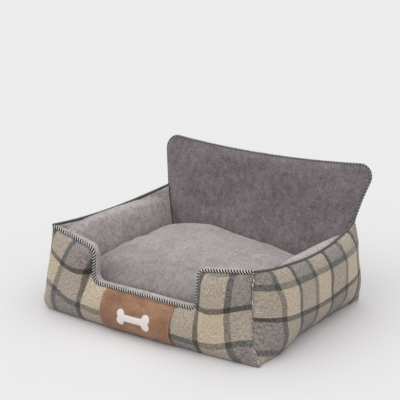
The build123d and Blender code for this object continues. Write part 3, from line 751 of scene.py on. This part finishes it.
def sidePlush(name, side, seed):
    rows, cols = 44, 96
    s = np.linspace(0, 1, rows)
    mx = curveThrough([(a, b * mm) for a, b, c in sideSection], s)
    mz = curveThrough([(a, c * mm) for a, b, c in sideSection], s)
    if side < 0:  # the left lip is pressed flatter than the right one
        mz = mz - 5 * mm * np.exp(-((s - 0.14) / 0.09) ** 2)
    cz = tipZ + (14 * mm - tipZ) * s ** 0.92
    cx = curveThrough(bed["junctionSide"], cz)
    cx[0], fy, ry = tipX, curveThrough(bed["junctionFront"], cz), curveThrough(bed["junctionRear"], cz)
    t = np.linspace(-1, 1, cols)
    t = np.sin(t * math.pi / 2) * 0.45 + t * 0.55
    sharp = 2.0 + 1.2 * np.clip(s / 0.1, 0, 1)
    full = 1 - np.abs(t[None, :]) ** sharp[:, None]
    x = cx[:, None] + (mx - cx)[:, None] * full
    z = cz[:, None] + (mz - cz)[:, None] * full
    share = (t[None, :] + 1) / 2
    y = fy[:, None] + (ry - fy)[:, None] * share
    points = np.stack([x, y, z], -1)
    inner = (roundOff(s[:, None] * 0.2, 30 * mm) * roundOff((1 - np.abs(t[None, :])) * 0.18, 26 * mm))
    points[..., 0] += (ripple(points, 90 * mm, seed) * 2.2 + ripple(points, 34 * mm, seed + 1) * 0.7) * mm * inner
    points[..., 0] *= side
    ob = gridMesh(name, points, np.stack([y, z], -1), turn=side > 0)
    thicken(ob, bed["plush"])
    return ob


def frontPlush():
    path = frontSeam
    tangent = np.gradient(path[:, [0, 2]], axis=0)
    tangent /= np.linalg.norm(tangent, axis=1)[:, None]
    out = np.stack([-tangent[:, 1], tangent[:, 0]], 1)  # away from the padding

    def innerFace(x, z):
        jx = curveThrough(bed["junctionSide"], z)
        away = seamDistance(x, z, seamCoarse)
        deep = curveThrough([(14 * mm, -160 * mm), (90 * mm, -165 * mm), (171 * mm, -172 * mm)], z)
        near = frontSeamY(z) + 14 * mm
        face = deep + (near - deep) * np.exp(-away / (20 * mm))
        share = np.clip(np.abs(x) / jx, 0, 1) ** 5
        return face + (curveThrough(bed["junctionFront"], z) - face) * share

    rim = 14
    a = (1 - np.cos(np.linspace(0, 1, rim) * math.pi)) / 2
    lift = (1 - np.abs(2 * a - 1) ** 2.4) ** 0.5
    fade = 1 - (np.abs(path[:, 0]) / tipX) ** 10
    rows = []
    for share, up in zip(a, lift):
        rise = 3.6 * mm * up * fade
        x = path[:, 0] + out[:, 0] * rise
        z = path[:, 2] + out[:, 1] * rise
        y = path[:, 1] + (innerFace(path[:, 0], path[:, 2]) - path[:, 1]) * share
        rows.append(np.stack([x, y, z], -1))
    x, z = fanGrid(path, 14 * mm, 200 * mm, 40, ease=0.7)
    edge = 200 * mm + (tipX - 200 * mm) * (z - 14 * mm) / (tipZ - 14 * mm)
    x = x + np.sign(x) * (curveThrough(bed["junctionSide"], z) - edge) * np.clip(np.abs(x) / edge, 0, 1) ** 6
    y = innerFace(x, z)
    face = np.stack([x, y, z], -1)[::-1][1:]
    points = np.concatenate([np.array(rows), face])
    soft = ripple(points, 80 * mm, 51) * 1.6 + ripple(points, 30 * mm, 53) * 0.5
    points[3:, :, 1] += soft[3:] * mm * fade[None, :]
    ob = gridMesh("front_plush", points, np.stack([points[..., 0], points[..., 2]], -1), turn=True)
    thicken(ob, bed["plush"])
    return ob


# cords, threads and other thin runs
def sweep(path, radius, sides=6):  # a tube along a path, its ends closed
    path = np.asarray(path, float)
    tangent = np.gradient(path, axis=0)
    tangent /= np.linalg.norm(tangent, axis=1)[:, None]
    first, second = crossFrames(path, tangent)
    angle = np.linspace(0, math.tau, sides, endpoint=False)
    ring = np.cos(angle)[None, :, None] * first[:, None] + np.sin(angle)[None, :, None] * second[:, None]
    return path[:, None] + ring * np.reshape(radius, (-1, 1, 1))


def crossFrames(path, tangent):  # two directions across a path that don't spin
    up = np.array([0.0, 0.0, 1.0]) if abs(tangent[0][2]) < 0.9 else np.array([0.0, 1.0, 0.0])
    first = np.zeros_like(path)
    a = up - tangent[0] * (up @ tangent[0])
    for i, t in enumerate(tangent):
        a = a - t * (a @ t)
        a /= np.linalg.norm(a)
        first[i] = a
    return first, np.cross(tangent, first)


def tubeMesh(name, tubes):  # several swept tubes as one piece
    verts, faces = [], []
    for rings in tubes:
        base, (count, sides) = len(verts), rings.shape[:2]
        verts.extend(map(tuple, rings.reshape(-1, 3)))
        for i in range(count - 1):
            for k in range(sides):
                a, b = base + i * sides + k, base + i * sides + (k + 1) % sides
                faces.append((a, b, b + sides, a + sides))
        faces.append(tuple(base + k for k in range(sides))[::-1])
        faces.append(tuple(base + (count - 1) * sides + k for k in range(sides)))
    me = bpy.data.meshes.new(name)
    me.from_pydata(verts, [], faces)
    ob = bpy.data.objects.new(name, me)
    bpy.context.scene.collection.objects.link(ob)
    shadeSmooth(ob)
    return ob


def twistedCord(name, path, radius, pitch, strands, body, stands):  # strands laid round each other
    length = np.linalg.norm(np.diff(path, axis=0), axis=1).sum()
    count = int(length / pitch * 10)
    path = resample(path, count)
    tangent = np.gradient(path, axis=0)
    tangent /= np.linalg.norm(tangent, axis=1)[:, None]
    first, second = crossFrames(path, tangent)
    run = np.linspace(0, length, count)
    plies = len(strands)
    laid = radius * (0.62 if plies > 2 else 0.5)
    groups = {}
    for k, material in enumerate(strands):
        thin = 0.74 if material == paleStrand else 1.12
        angle = math.tau * (run / pitch + k / plies)
        centre = path + laid * (np.cos(angle)[:, None] * first + np.sin(angle)[:, None] * second)
        groups.setdefault(material.name, []).append(sweep(centre, (radius - laid) * thin, 6))
    for matName, tubes in groups.items():
        ob = tubeMesh(f"{name}_{matName.split('_')[-1]}", tubes)
        finishPiece(ob, body, bpy.data.materials[matName], stands)


cordMake = {"radius": 4.1 * mm, "pitch": 11.6 * mm, "sideRadius": 2.9 * mm, "sidePitch": 7.2 * mm,
            "backRadius": 2.7 * mm, "backPitch": 7.0 * mm}


def rimPath(t):  # the piped edge of the right wall, from the front tip to the rear one
    y = -187 * mm + 383 * mm * t
    x, z = sideSurface(y, np.ones_like(y))
    return np.stack([x, y, z], -1)


def outlinePath():  # the piped edge of the backrest, from the left tip round to the right one
    x, z, side, top = panelGrid(panelSide + panelUpper, 260, 240)
    rows = int(np.argmax(z[:, 0] > tipZ + 0.5 * mm))
    left = np.stack([x[rows:, 0], z[rows:, 0]], -1)
    over = np.stack([x[-1, 1:-1], z[-1, 1:-1]], -1)
    right = np.stack([x[rows:, -1], z[rows:, -1]], -1)[::-1]
    flat = np.concatenate([left, over, right])
    return np.stack([flat[:, 0], leanY(flat[:, 1]), flat[:, 1]], -1)


def makePiping():
    front = frontSeam.copy()
    front[:, 1] -= 2.2 * mm
    tangent = np.gradient(front[:, [0, 2]], axis=0)
    tangent /= np.linalg.norm(tangent, axis=1)[:, None]
    front[:, 0] -= tangent[:, 1] * 2.0 * mm
    front[:, 2] += tangent[:, 0] * 2.0 * mm
    twistedCord("front_piping_cord", front, cordMake["radius"], cordMake["pitch"],
                [darkStrand, paleStrand, darkStrand, paleStrand], "bed", ["front_piping"])
    rim = rimPath(np.linspace(0, 1, 160))
    rim[:, 0] += 1.0 * mm
    rim[:, 2] += 1.0 * mm
    for side, word in ((1, "right"), (-1, "left")):
        lifted = rim + np.array([0, 0, 1.2 * mm if side < 0 else 0])
        twistedCord(f"{word}_piping_cord", lifted * (side, 1, 1), cordMake["sideRadius"], cordMake["sidePitch"],
                    [darkStrand, greyStrand, darkStrand, greyStrand], "bed", [f"{word}_piping"])
    edge = outlinePath()
    twistedCord("backrest_piping_cord", edge, cordMake["backRadius"], cordMake["backPitch"],
                [darkStrand, paleStrand, darkStrand, greyStrand], "bed", ["backrest_piping"])
    z = np.linspace(171, 18, 120) * mm
    corner = np.stack([curveThrough(bed["junctionSide"], z) - 2.6 * mm,
                       curveThrough(bed["junctionRear"], z) - 3.4 * mm, z], -1)
    for side, word in ((1, "right"), (-1, "left")):
        twistedCord(f"{word}_rear_seam_cord", corner * (side, 1, 1), 2.3 * mm, 6.5 * mm,
                    [darkStrand, darkStrand, greyStrand], "bed", [])


def makeCornerSeams():  # the plaid covers' upright seams, with a few loose thread ends
    z = np.linspace(2, 166, 90) * mm
    seamThreads, looseEnds = [], []
    for side in (-1, 1):
        frontLine = np.stack([side * (cornerFrontX(side, z) - 0.4 * mm), cornerF(z) + 0.2 * mm, z], -1)
        rearLine = np.stack([side * (cornerX(z) - 0.4 * mm), cornerR(z) - 0.2 * mm, z], -1)
        for line in (frontLine, rearLine):
            line[:, 0] += np.sin(z * 900) * 0.25 * mm
            seamThreads.append(sweep(line, 1.3 * mm, 6))
        for k, high in enumerate((160, 152, 148, 121, 86, 61, 31, 14)):
            if side < 0 and k % 3:
                continue
            at = np.array([side * cornerFrontX(side, high * mm), cornerF(high * mm), high * mm])
            reach = (4.5 + 2.5 * math.sin(high)) * mm
            bits = np.linspace(0, 1, 7)[:, None]
            aim = np.array([side * 0.5, -0.9, 0.5 * math.cos(high * 1.7)])
            looseEnds.append(sweep(at + bits * reach * aim + bits ** 2 * reach * np.array([0.2 * side, 0.1, -0.8]),
                                   0.6 * mm, 5))
    finishPiece(tubeMesh("corner_seam_welts", seamThreads), "bed", seamThread)
    finishPiece(tubeMesh("corner_thread_ends", looseEnds), "bed", creamThread)


# the suede label, its stitching and the bone sewn on it
label = {"half": 85 * mm, "top": 78.4 * mm, "thickness": 1.4 * mm, "stand": 1.2 * mm, "stitchIn": 4 * mm,
         "stitch": 3.2 * mm, "gap": 1.3 * mm, "boneUp": 40 * mm, "boneHigh": 1.0 * mm}


def labelSurface(x, z, lift=0.0):
    x, z = np.asarray(x, float), np.asarray(z, float)
    crease = (2.0 * mm * np.exp(-((z - 17 * mm - 0.10 * x) / (4 * mm)) ** 2)
              + 1.4 * mm * np.exp(-((z - 8 * mm + 0.06 * x) / (3 * mm)) ** 2)
              + 0.7 * mm * np.exp(-((z - 58 * mm - 0.18 * x) / (5 * mm)) ** 2) * smooth(0, 60 * mm, x))
    return frontFace(x, z) - label["stand"] - lift - crease * smooth(90 * mm, 60 * mm, np.abs(x))


def makeLabel():
    rows, cols = 46, 90
    s, t = np.meshgrid(np.linspace(0, 1, rows), np.linspace(-1, 1, cols), indexing="ij")
    x = t * (label["half"] - 1.5 * mm * smooth(0.2, 0.8, np.sin(s * math.pi)))
    z = 0.6 * mm + (label["top"] - 0.6 * mm) * s
    points = np.stack([x, labelSurface(x, z), z], -1)
    points[..., 1] += ripple(points, 42 * mm, 61) * 0.9 * mm
    points[..., 1] += np.exp(-(label["half"] - np.abs(x)) / (2 * mm)) * 1.0 * mm  # edges pulled down by the stitches
    patch = gridMesh("label_suede_patch", points, np.stack([x, z], -1))
    thicken(patch, label["thickness"])
    finishPiece(patch, "bed", labelSuede, ["label_patch"])
    dashes = []
    step = label["stitch"] + label["gap"]
    for side in (-1, 1):
        for i in range(int((label["top"] - 6 * mm) / step)):
            z0 = 3 * mm + i * step
            zz = np.linspace(z0, z0 + label["stitch"], 6)
            xx = np.full(6, side * (label["half"] - label["stitchIn"]))
            sink = np.sin(np.linspace(0, math.pi, 6)) * 0.35 * mm
            dashes.append(sweep(np.stack([xx, labelSurface(xx, zz, 0.1 * mm) - sink, zz], -1), 0.42 * mm, 5))
    stitches = tubeMesh("label_side_stitches", dashes)
    finishPiece(stitches, "bed", tanThread, ["label_stitching"])
    bone = makeBone()
    return patch, stitches, bone


def makeBone():
    lobeX, lobeZ, lobe, shaft = 29.5 * mm, 6.9 * mm, 9.1 * mm, 6.6 * mm
    reach = lobeX + lobe
    pieces = []
    for up in (-1, 1):
        t = np.sin(np.linspace(-0.5, 0.5, 150) * math.pi)
        x = t * (reach - 0.02 * mm)
        past = np.clip(np.abs(x) - lobeX, -lobe, lobe)
        curve = np.sqrt(np.clip(lobe ** 2 - past ** 2, 0, 1))
        top = np.where(np.abs(x) > lobeX - lobe, np.maximum(lobeZ + curve, shaft), shaft)
        top = np.convolve(np.pad(top, 2, mode="edge"), np.ones(5) / 5, "valid")
        inner = np.where(np.abs(x) > lobeX, np.maximum(lobeZ - curve, 0), 0)
        v = np.linspace(0, 1, 22)[:, None]
        z = inner + (top - inner) * v
        xx = np.broadcast_to(x, z.shape)
        lobeGap = lobe - np.hypot(np.abs(xx) - lobeX, z - lobeZ)
        shaftGap = np.minimum(shaft - z, lobeX - np.abs(xx))
        depth = np.clip(np.maximum(lobeGap, shaftGap), 0, 1)
        high = label["boneHigh"] * np.sqrt(np.clip(1 - (1 - np.clip(depth / (2.6 * mm), 0, 1)) ** 2, 0, 1))
        zz = label["boneUp"] + up * z
        points = np.stack([xx, labelSurface(xx, zz, high - 0.2 * mm), zz], -1)
        pieces.append(gridMesh("label_bone", points, np.stack([xx, zz], -1), turn=up < 0))
    bpy.ops.object.select_all(action="DESELECT")
    for ob in pieces:
        ob.select_set(True)
    bpy.context.view_layer.objects.active = pieces[1]
    bpy.ops.object.join()
    bone = pieces[1]
    bone.name = "label_bone"
    thicken(bone, 0.6 * mm)
    return finishPiece(bone, "bed", boneThread, ["label_emblem"])


# the loose cushion
seat = {"halfX": 209 * mm, "front": -181 * mm, "rear": 177 * mm, "corner": 4.4, "shoulder": 44 * mm,
        "crown": 16 * mm, "bottom": 16.6 * mm, "pressure": 4.0, "cap": 7 * mm, "frames": 18, "voxel": 5 * mm}


def seatOutline(angle, power):
    c, s = np.cos(angle), np.sin(angle)
    r = (np.abs(c) ** power + np.abs(s) ** power) ** (-1 / power)
    midY = (seat["front"] + seat["rear"]) / 2
    halfY = (seat["rear"] - seat["front"]) / 2
    return r * c * seat["halfX"], midY + r * s * halfY


def seatForm():  # a closed crowned form, slack to start with
    turns, rings = 168, 26
    angle = np.linspace(0, math.tau, turns, endpoint=False)
    ox, oy = seatOutline(angle, seat["corner"])
    midY = (seat["front"] + seat["rear"]) / 2
    verts = []
    up = np.sin(np.linspace(1, 0, rings) * math.pi / 2)
    for share in up[::-1][1:]:   # from the middle of the top out to the seam
        z = seamZ + seat["shoulder"] * (1 - share ** 20) ** (1 / 2.6) + seat["crown"] * (1 - share ** 2)
        wide = share * (1 - 0.018 * smooth(0.9, 1.0, share))
        verts.append(np.stack([ox * wide, midY + (oy - midY) * wide, np.full(turns, z)], -1))
    for share in up[:-1]:
        z = seamZ - (seamZ - seat["bottom"]) * (1 - share ** 12) ** (1 / 2.4)
        wide = share * (1 - 0.018 * smooth(0.9, 1.0, share))
        verts.append(np.stack([ox * wide, midY + (oy - midY) * wide, np.full(turns, z)], -1))
    loops = np.array(verts)
    pts = [(0, midY, seamZ + seat["shoulder"] + seat["crown"])] + [tuple(p) for p in loops.reshape(-1, 3)]
    pts.append((0, midY, seat["bottom"]))
    faces = [(0, 1 + k, 1 + (k + 1) % turns) for k in range(turns)]
    for i in range(len(loops) - 1):
        for k in range(turns):
            a, b = 1 + i * turns + k, 1 + i * turns + (k + 1) % turns
            faces.append((a, a + turns, b + turns, b))
    last = 1 + (len(loops) - 1) * turns
    faces += [(len(pts) - 1, last + (k + 1) % turns, last + k) for k in range(turns)]
    me = bpy.data.meshes.new("cushion")
    me.from_pydata(pts, [], faces)
    ob = bpy.data.objects.new("cushion", me)
    bpy.context.scene.collection.objects.link(ob)
    return ob


def pulled(points):  # the bed isn't quite even: its right front tip and right upper corner stand out
    p = np.array(points, float)
    x, y, z = p[..., 0].copy(), p[..., 1], p[..., 2]
    p[..., 0] += 7 * mm * smooth(120 * mm, 234 * mm, x) * smooth(-60 * mm, -185 * mm, y) * smooth(
        40 * mm, 130 * mm, z)
    p[..., 0] += 4 * mm * smooth(170 * mm, 255 * mm, x) * smooth(205 * mm, 270 * mm, z)
    return p


def co(ob):
    out = np.empty(len(ob.data.vertices) * 3)
    ob.data.vertices.foreach_get("co", out)
    return out.reshape(-1, 3)


def setCo(ob, points):
    ob.data.vertices.foreach_set("co", np.asarray(points, float).ravel())
    ob.data.update()


def swell(ob, pressure, frames, cap):  # cloth simulation, its result made plain mesh
    start = co(ob)
    cloth = ob.modifiers.new("air", "CLOTH")
    cloth.settings.use_pressure = True
    cloth.settings.uniform_pressure_force = pressure
    cloth.settings.quality = 6
    cloth.settings.mass = 0.3
    cloth.settings.tension_stiffness = cloth.settings.compression_stiffness = 12
    cloth.settings.bending_stiffness = 1.2
    cloth.settings.effector_weights.gravity = 0
    scene = bpy.context.scene
    scene.frame_start, scene.frame_end = 1, frames
    cloth.point_cache.frame_start, cloth.point_cache.frame_end = 1, frames
    for frame in range(1, frames + 1):
        scene.frame_set(frame)
    settle(ob)
    scene.frame_set(1)
    moved = co(ob) - start
    far = np.linalg.norm(moved, axis=1)
    setCo(ob, start + moved * (np.minimum(far, cap) / np.maximum(far, 1e-9))[:, None])


def makeCushion():
    ob = seatForm()
    remesh = ob.modifiers.new("even", "REMESH")
    remesh.mode = "VOXEL"
    remesh.voxel_size = seat["voxel"]
    soften = ob.modifiers.new("soft", "SMOOTH")
    soften.iterations = 4
    settle(ob)
    swell(ob, seat["pressure"], seat["frames"], seat["cap"])
    p = co(ob)
    x, y, z = p.T
    # the rear lies higher on the left and falls away to the right, as it is pushed in
    rear = smooth(20 * mm, 170 * mm, y) * smooth(seamZ, 90 * mm, z)
    p[:, 2] += rear * (5 * mm * np.exp(-((x + 90 * mm) / (90 * mm)) ** 2) - 11 * mm * smooth(20 * mm, 170 * mm, x))
    p[:, 2] -= 9 * mm * smooth(-110 * mm, -178 * mm, y) * smooth(seamZ, 84 * mm, z)
    onLeft = smooth(110 * mm, -110 * mm, x) * smooth(seamZ, 90 * mm, z)
    p[:, 2] += onLeft * 9 * mm * smooth(-110 * mm, 0, y)
    dent = ripple(p, 130 * mm, 71, 3) * 4.5 + ripple(p, 45 * mm, 73) * 1.2
    p[:, 2] += dent * mm * smooth(60 * mm, 92 * mm, z)
    p[:, 2] = np.maximum(p[:, 2], seat["bottom"])
    # the seam round the middle draws the sides in
    nearSeam = np.exp(-((p[:, 2] - seamZ) / (5 * mm)) ** 2)
    out = np.stack([x / seat["halfX"], (y - 2 * mm) / (170 * mm), 0 * x], -1)
    p -= out * (nearSeam * (3.5 + 1.2 * np.sin(np.arctan2(y, x) * 90)) * mm)[:, None]
    # the zip lies in a channel at the back
    zipDepth = smooth(19 * mm, 11 * mm, np.abs(p[:, 2] - seamZ)) * smooth(163 * mm, 150 * mm, np.abs(x))
    target = np.minimum(p[:, 1], 141.6 * mm)
    p[:, 1] += (target - p[:, 1]) * zipDepth * (y > 60 * mm)
    # it stays inside the well
    high = p[:, 2]
    wellX = curveThrough([(14 * mm, 196 * mm), (60 * mm, 201 * mm), (102 * mm, 209 * mm),
                          (120 * mm, 212 * mm)], high)
    wellRear = curveThrough(bed["junctionRear"], high) - 4.5 * mm
    overLip = smooth(78 * mm, 82.5 * mm, high) * smooth(122 * mm, 112 * mm, np.abs(p[:, 0]))
    wellFront = -161 * mm - 6 * mm * smooth(20 * mm, 74 * mm, high) - 15 * mm * overLip
    p[:, 0] = np.clip(p[:, 0], -wellX, wellX)
    p[:, 1] = np.clip(p[:, 1], wellFront, wellRear)
    setCo(ob, p)
    soften = ob.modifiers.new("soft", "SMOOTH")
    soften.iterations = 3
    settle(ob)
    halves = []
    for name, keepTop, material, slotName, stands in (
            ("cushion_top_plush", True, seatPlush, "grey_plush", ["cushion_top_cover", "cushion_filling"]),
            ("cushion_underside", False, underCloth, "base_cloth", ["cushion_bottom_cover"])):
        me = bpy.data.meshes.new(name)
        me.from_pydata(*cutAt(ob, seamZ, keepTop))
        half = bpy.data.objects.new(name, me)
        bpy.context.scene.collection.objects.link(half)
        layer = me.uv_layers.new(name="cloth")
        corner = np.array([l.vertex_index for l in me.loops])
        layer.uv.foreach_set("vector", co(half)[corner][:, :2].astype(np.float32).ravel())
        shadeSmooth(half)
        thicken(half, 1.6 * mm, 1)
        finishPiece(half, "cushion", material, stands)
        halves.append(half)
    bpy.data.objects.remove(ob)
    return halves


def cutAt(ob, level, keepTop):  # the part of a closed mesh above or below a level, its edge laid on it
    points = co(ob)
    faces = [tuple(f.vertices) for f in ob.data.polygons]
    above = points[:, 2] > level
    kept = []
    for f in faces:
        share = sum(above[i] for i in f) / len(f)
        if (share >= 0.5) == keepTop:
            kept.append(f)
    used = sorted({i for f in kept for i in f})
    number = {i: n for n, i in enumerate(used)}
    pts = points[used]
    wrong = (pts[:, 2] < level) if keepTop else (pts[:, 2] > level)
    pts[wrong, 2] = level
    count = {}
    for f in kept:
        for a, b in zip(f, f[1:] + f[:1]):
            key = (min(a, b), max(a, b))
            count[key] = count.get(key, 0) + 1
    rim = {i for edge, n in count.items() if n == 1 for i in edge}
    for i in rim:
        pts[number[i], 2] = level
    return [tuple(p) for p in pts], [], [tuple(number[i] for i in f) for f in kept]


# the base
def makeBase():
    rows, cols = 60, 60
    s, t = np.meshgrid(np.linspace(0, 1, rows), np.linspace(-1, 1, cols), indexing="ij")
    frontY = -207 * mm + 7 * mm * np.abs(t) ** 3
    rearY = 198.5 * mm
    y = frontY + (rearY - frontY) * s
    rightEdge = 248 * mm + floorBow(1, y) + 12 * mm * np.exp(-(y + 200 * mm) / (45 * mm))
    leftEdge = 248 * mm + floorBow(-1, y) - 8 * mm * np.exp(-(y + 200 * mm) / (45 * mm))
    x = np.where(t > 0, t * rightEdge, t * leftEdge)
    z = 1.2 * mm + 0 * x
    points = np.stack([x, y, z], -1)
    under = gridMesh("base_underside_cloth", points, np.stack([x, y], -1))
    thicken(under, 0.9 * mm)
    finishPiece(under, "bed", baseCloth, ["base_bottom_cloth"])
    x = t * 193 * mm
    y = -158 * mm + 317 * mm * s
    points = np.stack([x, y, 15.2 * mm + 0 * x], -1)
    points[..., 2] += ripple(points, 70 * mm, 81) * 0.8 * mm - 0.4 * mm
    lining = gridMesh("base_lining_cloth", points, np.stack([x, y], -1))
    thicken(lining, 1.2 * mm)
    finishPiece(lining, "bed", liningCloth, ["base_lining", "base_pad"])


# the two zips
def makeZip(word, body, y, z, half, tapeHigh):
    s, t = np.meshgrid(np.linspace(0, 1, 9), np.linspace(-1, 1, 160), indexing="ij")
    x = t * (half + 3 * mm)
    zz = z + (s - 0.5) * tapeHigh
    points = np.stack([x, y + 0 * x, zz], -1)
    points[..., 1] += ripple(points, 30 * mm, 91) * 0.25 * mm
    tape = gridMesh(f"{word}_zip_tape_weave", points, np.stack([x, zz], -1), turn=True)
    thicken(tape, 0.9 * mm)
    finishPiece(tape, body, tapeCloth, [f"{word}_zip_tape"])
    coils = []
    for up in (-1, 1):
        count = int(2 * half / (2.2 * mm))
        run = np.linspace(0, 1, count * 8)
        turn = run * count * math.tau + (0 if up > 0 else math.pi)
        path = np.stack([-half + run * 2 * half, y + 0.9 * mm + 0.65 * mm * np.sin(turn),
                         z + up * 0.9 * mm + 1.35 * mm * np.cos(turn)], -1)
        coils.append(sweep(path, 0.38 * mm, 5))
    coil = tubeMesh(f"{word}_zip_coil_teeth", coils)
    finishPiece(coil, body, zipNylon, [f"{word}_zip_coil"])
    dashes = []
    for up in (-1, 1):
        for i in range(int(2 * half / (4.6 * mm))):
            x0 = -half + i * 4.6 * mm
            xx = np.linspace(x0, x0 + 3.3 * mm, 5)
            sink = np.sin(np.linspace(0, math.pi, 5)) * 0.25 * mm
            dashes.append(sweep(np.stack([xx, y + 0.1 * mm + sink, np.full(5, z + up * tapeHigh * 0.36)], -1),
                                0.35 * mm, 5))
    sewing = tubeMesh(f"{word}_zip_sewing", dashes)
    finishPiece(sewing, body, greyStrand)
    for part in ("stops", "slider", "pull"):
        node = frame["nodes"][f"{word}_zip_{part}"]
        node.data.materials.clear()
        node.data.materials.append(zipMetal)


# put it together
front = frontWall()
finishPiece(front, "bed", frontPlaid, ["front_outer_cover", "front_foam"])
right = sideWall("right_wall_plaid", 1, 11)
finishPiece(right, "bed", rightPlaid, ["right_outer_cover", "right_foam"])
left = sideWall("left_wall_plaid", -1, 21)
finishPiece(left, "bed", leftPlaid, ["left_outer_cover", "left_foam"])
rear = backrestRear()
finishPiece(rear, "bed", backPlaid, ["backrest_outer_cover", "backrest_foam"])
print("plaid covers made")
frontInner = finishPiece(frontPlush(), "bed", wallPlush, ["front_inner_lining"])
rightInner = finishPiece(sidePlush("right_wall_plush", 1, 12), "bed", wallPlush,
                         ["right_inner_lining"])
leftInner = finishPiece(sidePlush("left_wall_plush", -1, 22), "bed", wallPlush,
                        ["left_inner_lining"])
backInner = finishPiece(backrestFront(), "bed", backPlush, ["backrest_inner_lining"])
print("plush linings made")
makePiping()
print("piping made")
patch, stitches, bone = makeLabel()
print("label made")
makeCornerSeams()
for ob in [o for o in bpy.data.objects if o.type == "MESH" and not o.name.startswith("studio")]:
    if ob not in frame["nodes"].values():
        setCo(ob, pulled(co(ob)))
makeCushion()
print("cushion made")
makeBase()
makeZip("cover", "bed", 200.0 * mm, 26 * mm, 150 * mm, 20 * mm)
makeZip("cushion", "cushion", 143.3 * mm, 52 * mm, 140 * mm, 20 * mm)
print("base and zips made")


# floor, light and camera
studio = {"floor": tone(215, 214, 214), "key": 0.42, "fill": 0.25, "top": 1.5, "world": 0.70}


def studioPaper():
    k = Look("studio_paper")
    cloud = k.grain(k.place(), 1.2, 2.0)
    base = k.mix(cloud * 0.1, studio["floor"], tone(236, 235, 235))
    return k.put(Base_Color=base, Roughness=0.9 + cloud * 0.02, Specular_IOR_Level=0.0)


s, t = np.meshgrid(np.linspace(-14, 14, 30), np.linspace(-14, 14, 30), indexing="ij")
floor = gridMesh("studio_floor", np.stack([t, s, -0.0005 + 0 * s], -1))
floor.data.materials.append(studioPaper())


def softSun(name, comingFrom, strength, spread):
    data = bpy.data.lights.new(name, "SUN")
    data.energy, data.angle = strength, math.radians(spread)
    lamp = bpy.data.objects.new(name, data)
    lamp.rotation_euler = (-Vector(comingFrom)).to_track_quat("-Z", "Y").to_euler()
    bpy.context.scene.collection.objects.link(lamp)


softSun("overhead_soft", (-0.08, -0.05, 1.0), studio["top"], 110)
softSun("front_left_soft", (-0.35, -1.0, 0.75), studio["key"], 60)
softSun("right_fill", (1.0, -0.35, 0.5), studio["fill"], 60)
world = bpy.data.worlds.new("studio_air")
world.use_nodes = True
world.node_tree.nodes["Background"].inputs["Color"].default_value = (0.93, 0.93, 0.935, 1)
world.node_tree.nodes["Background"].inputs["Strength"].default_value = studio["world"]
bpy.context.scene.world = world
bpy.context.scene.view_settings.view_transform = "Standard"

lens = bpy.data.cameras.new("studio_camera")
lens.lens, lens.sensor_width = 99.9, 36
camera = bpy.data.objects.new("studio_camera", lens)
camera.location = (1.2337, -1.7430, 0.8258)
camera.rotation_euler = (Vector((-0.0095, 0, 0.220)) - camera.location).to_track_quat("-Z", "Y").to_euler()
bpy.context.scene.collection.objects.link(camera)
bpy.context.scene.camera = camera
print("studio set")
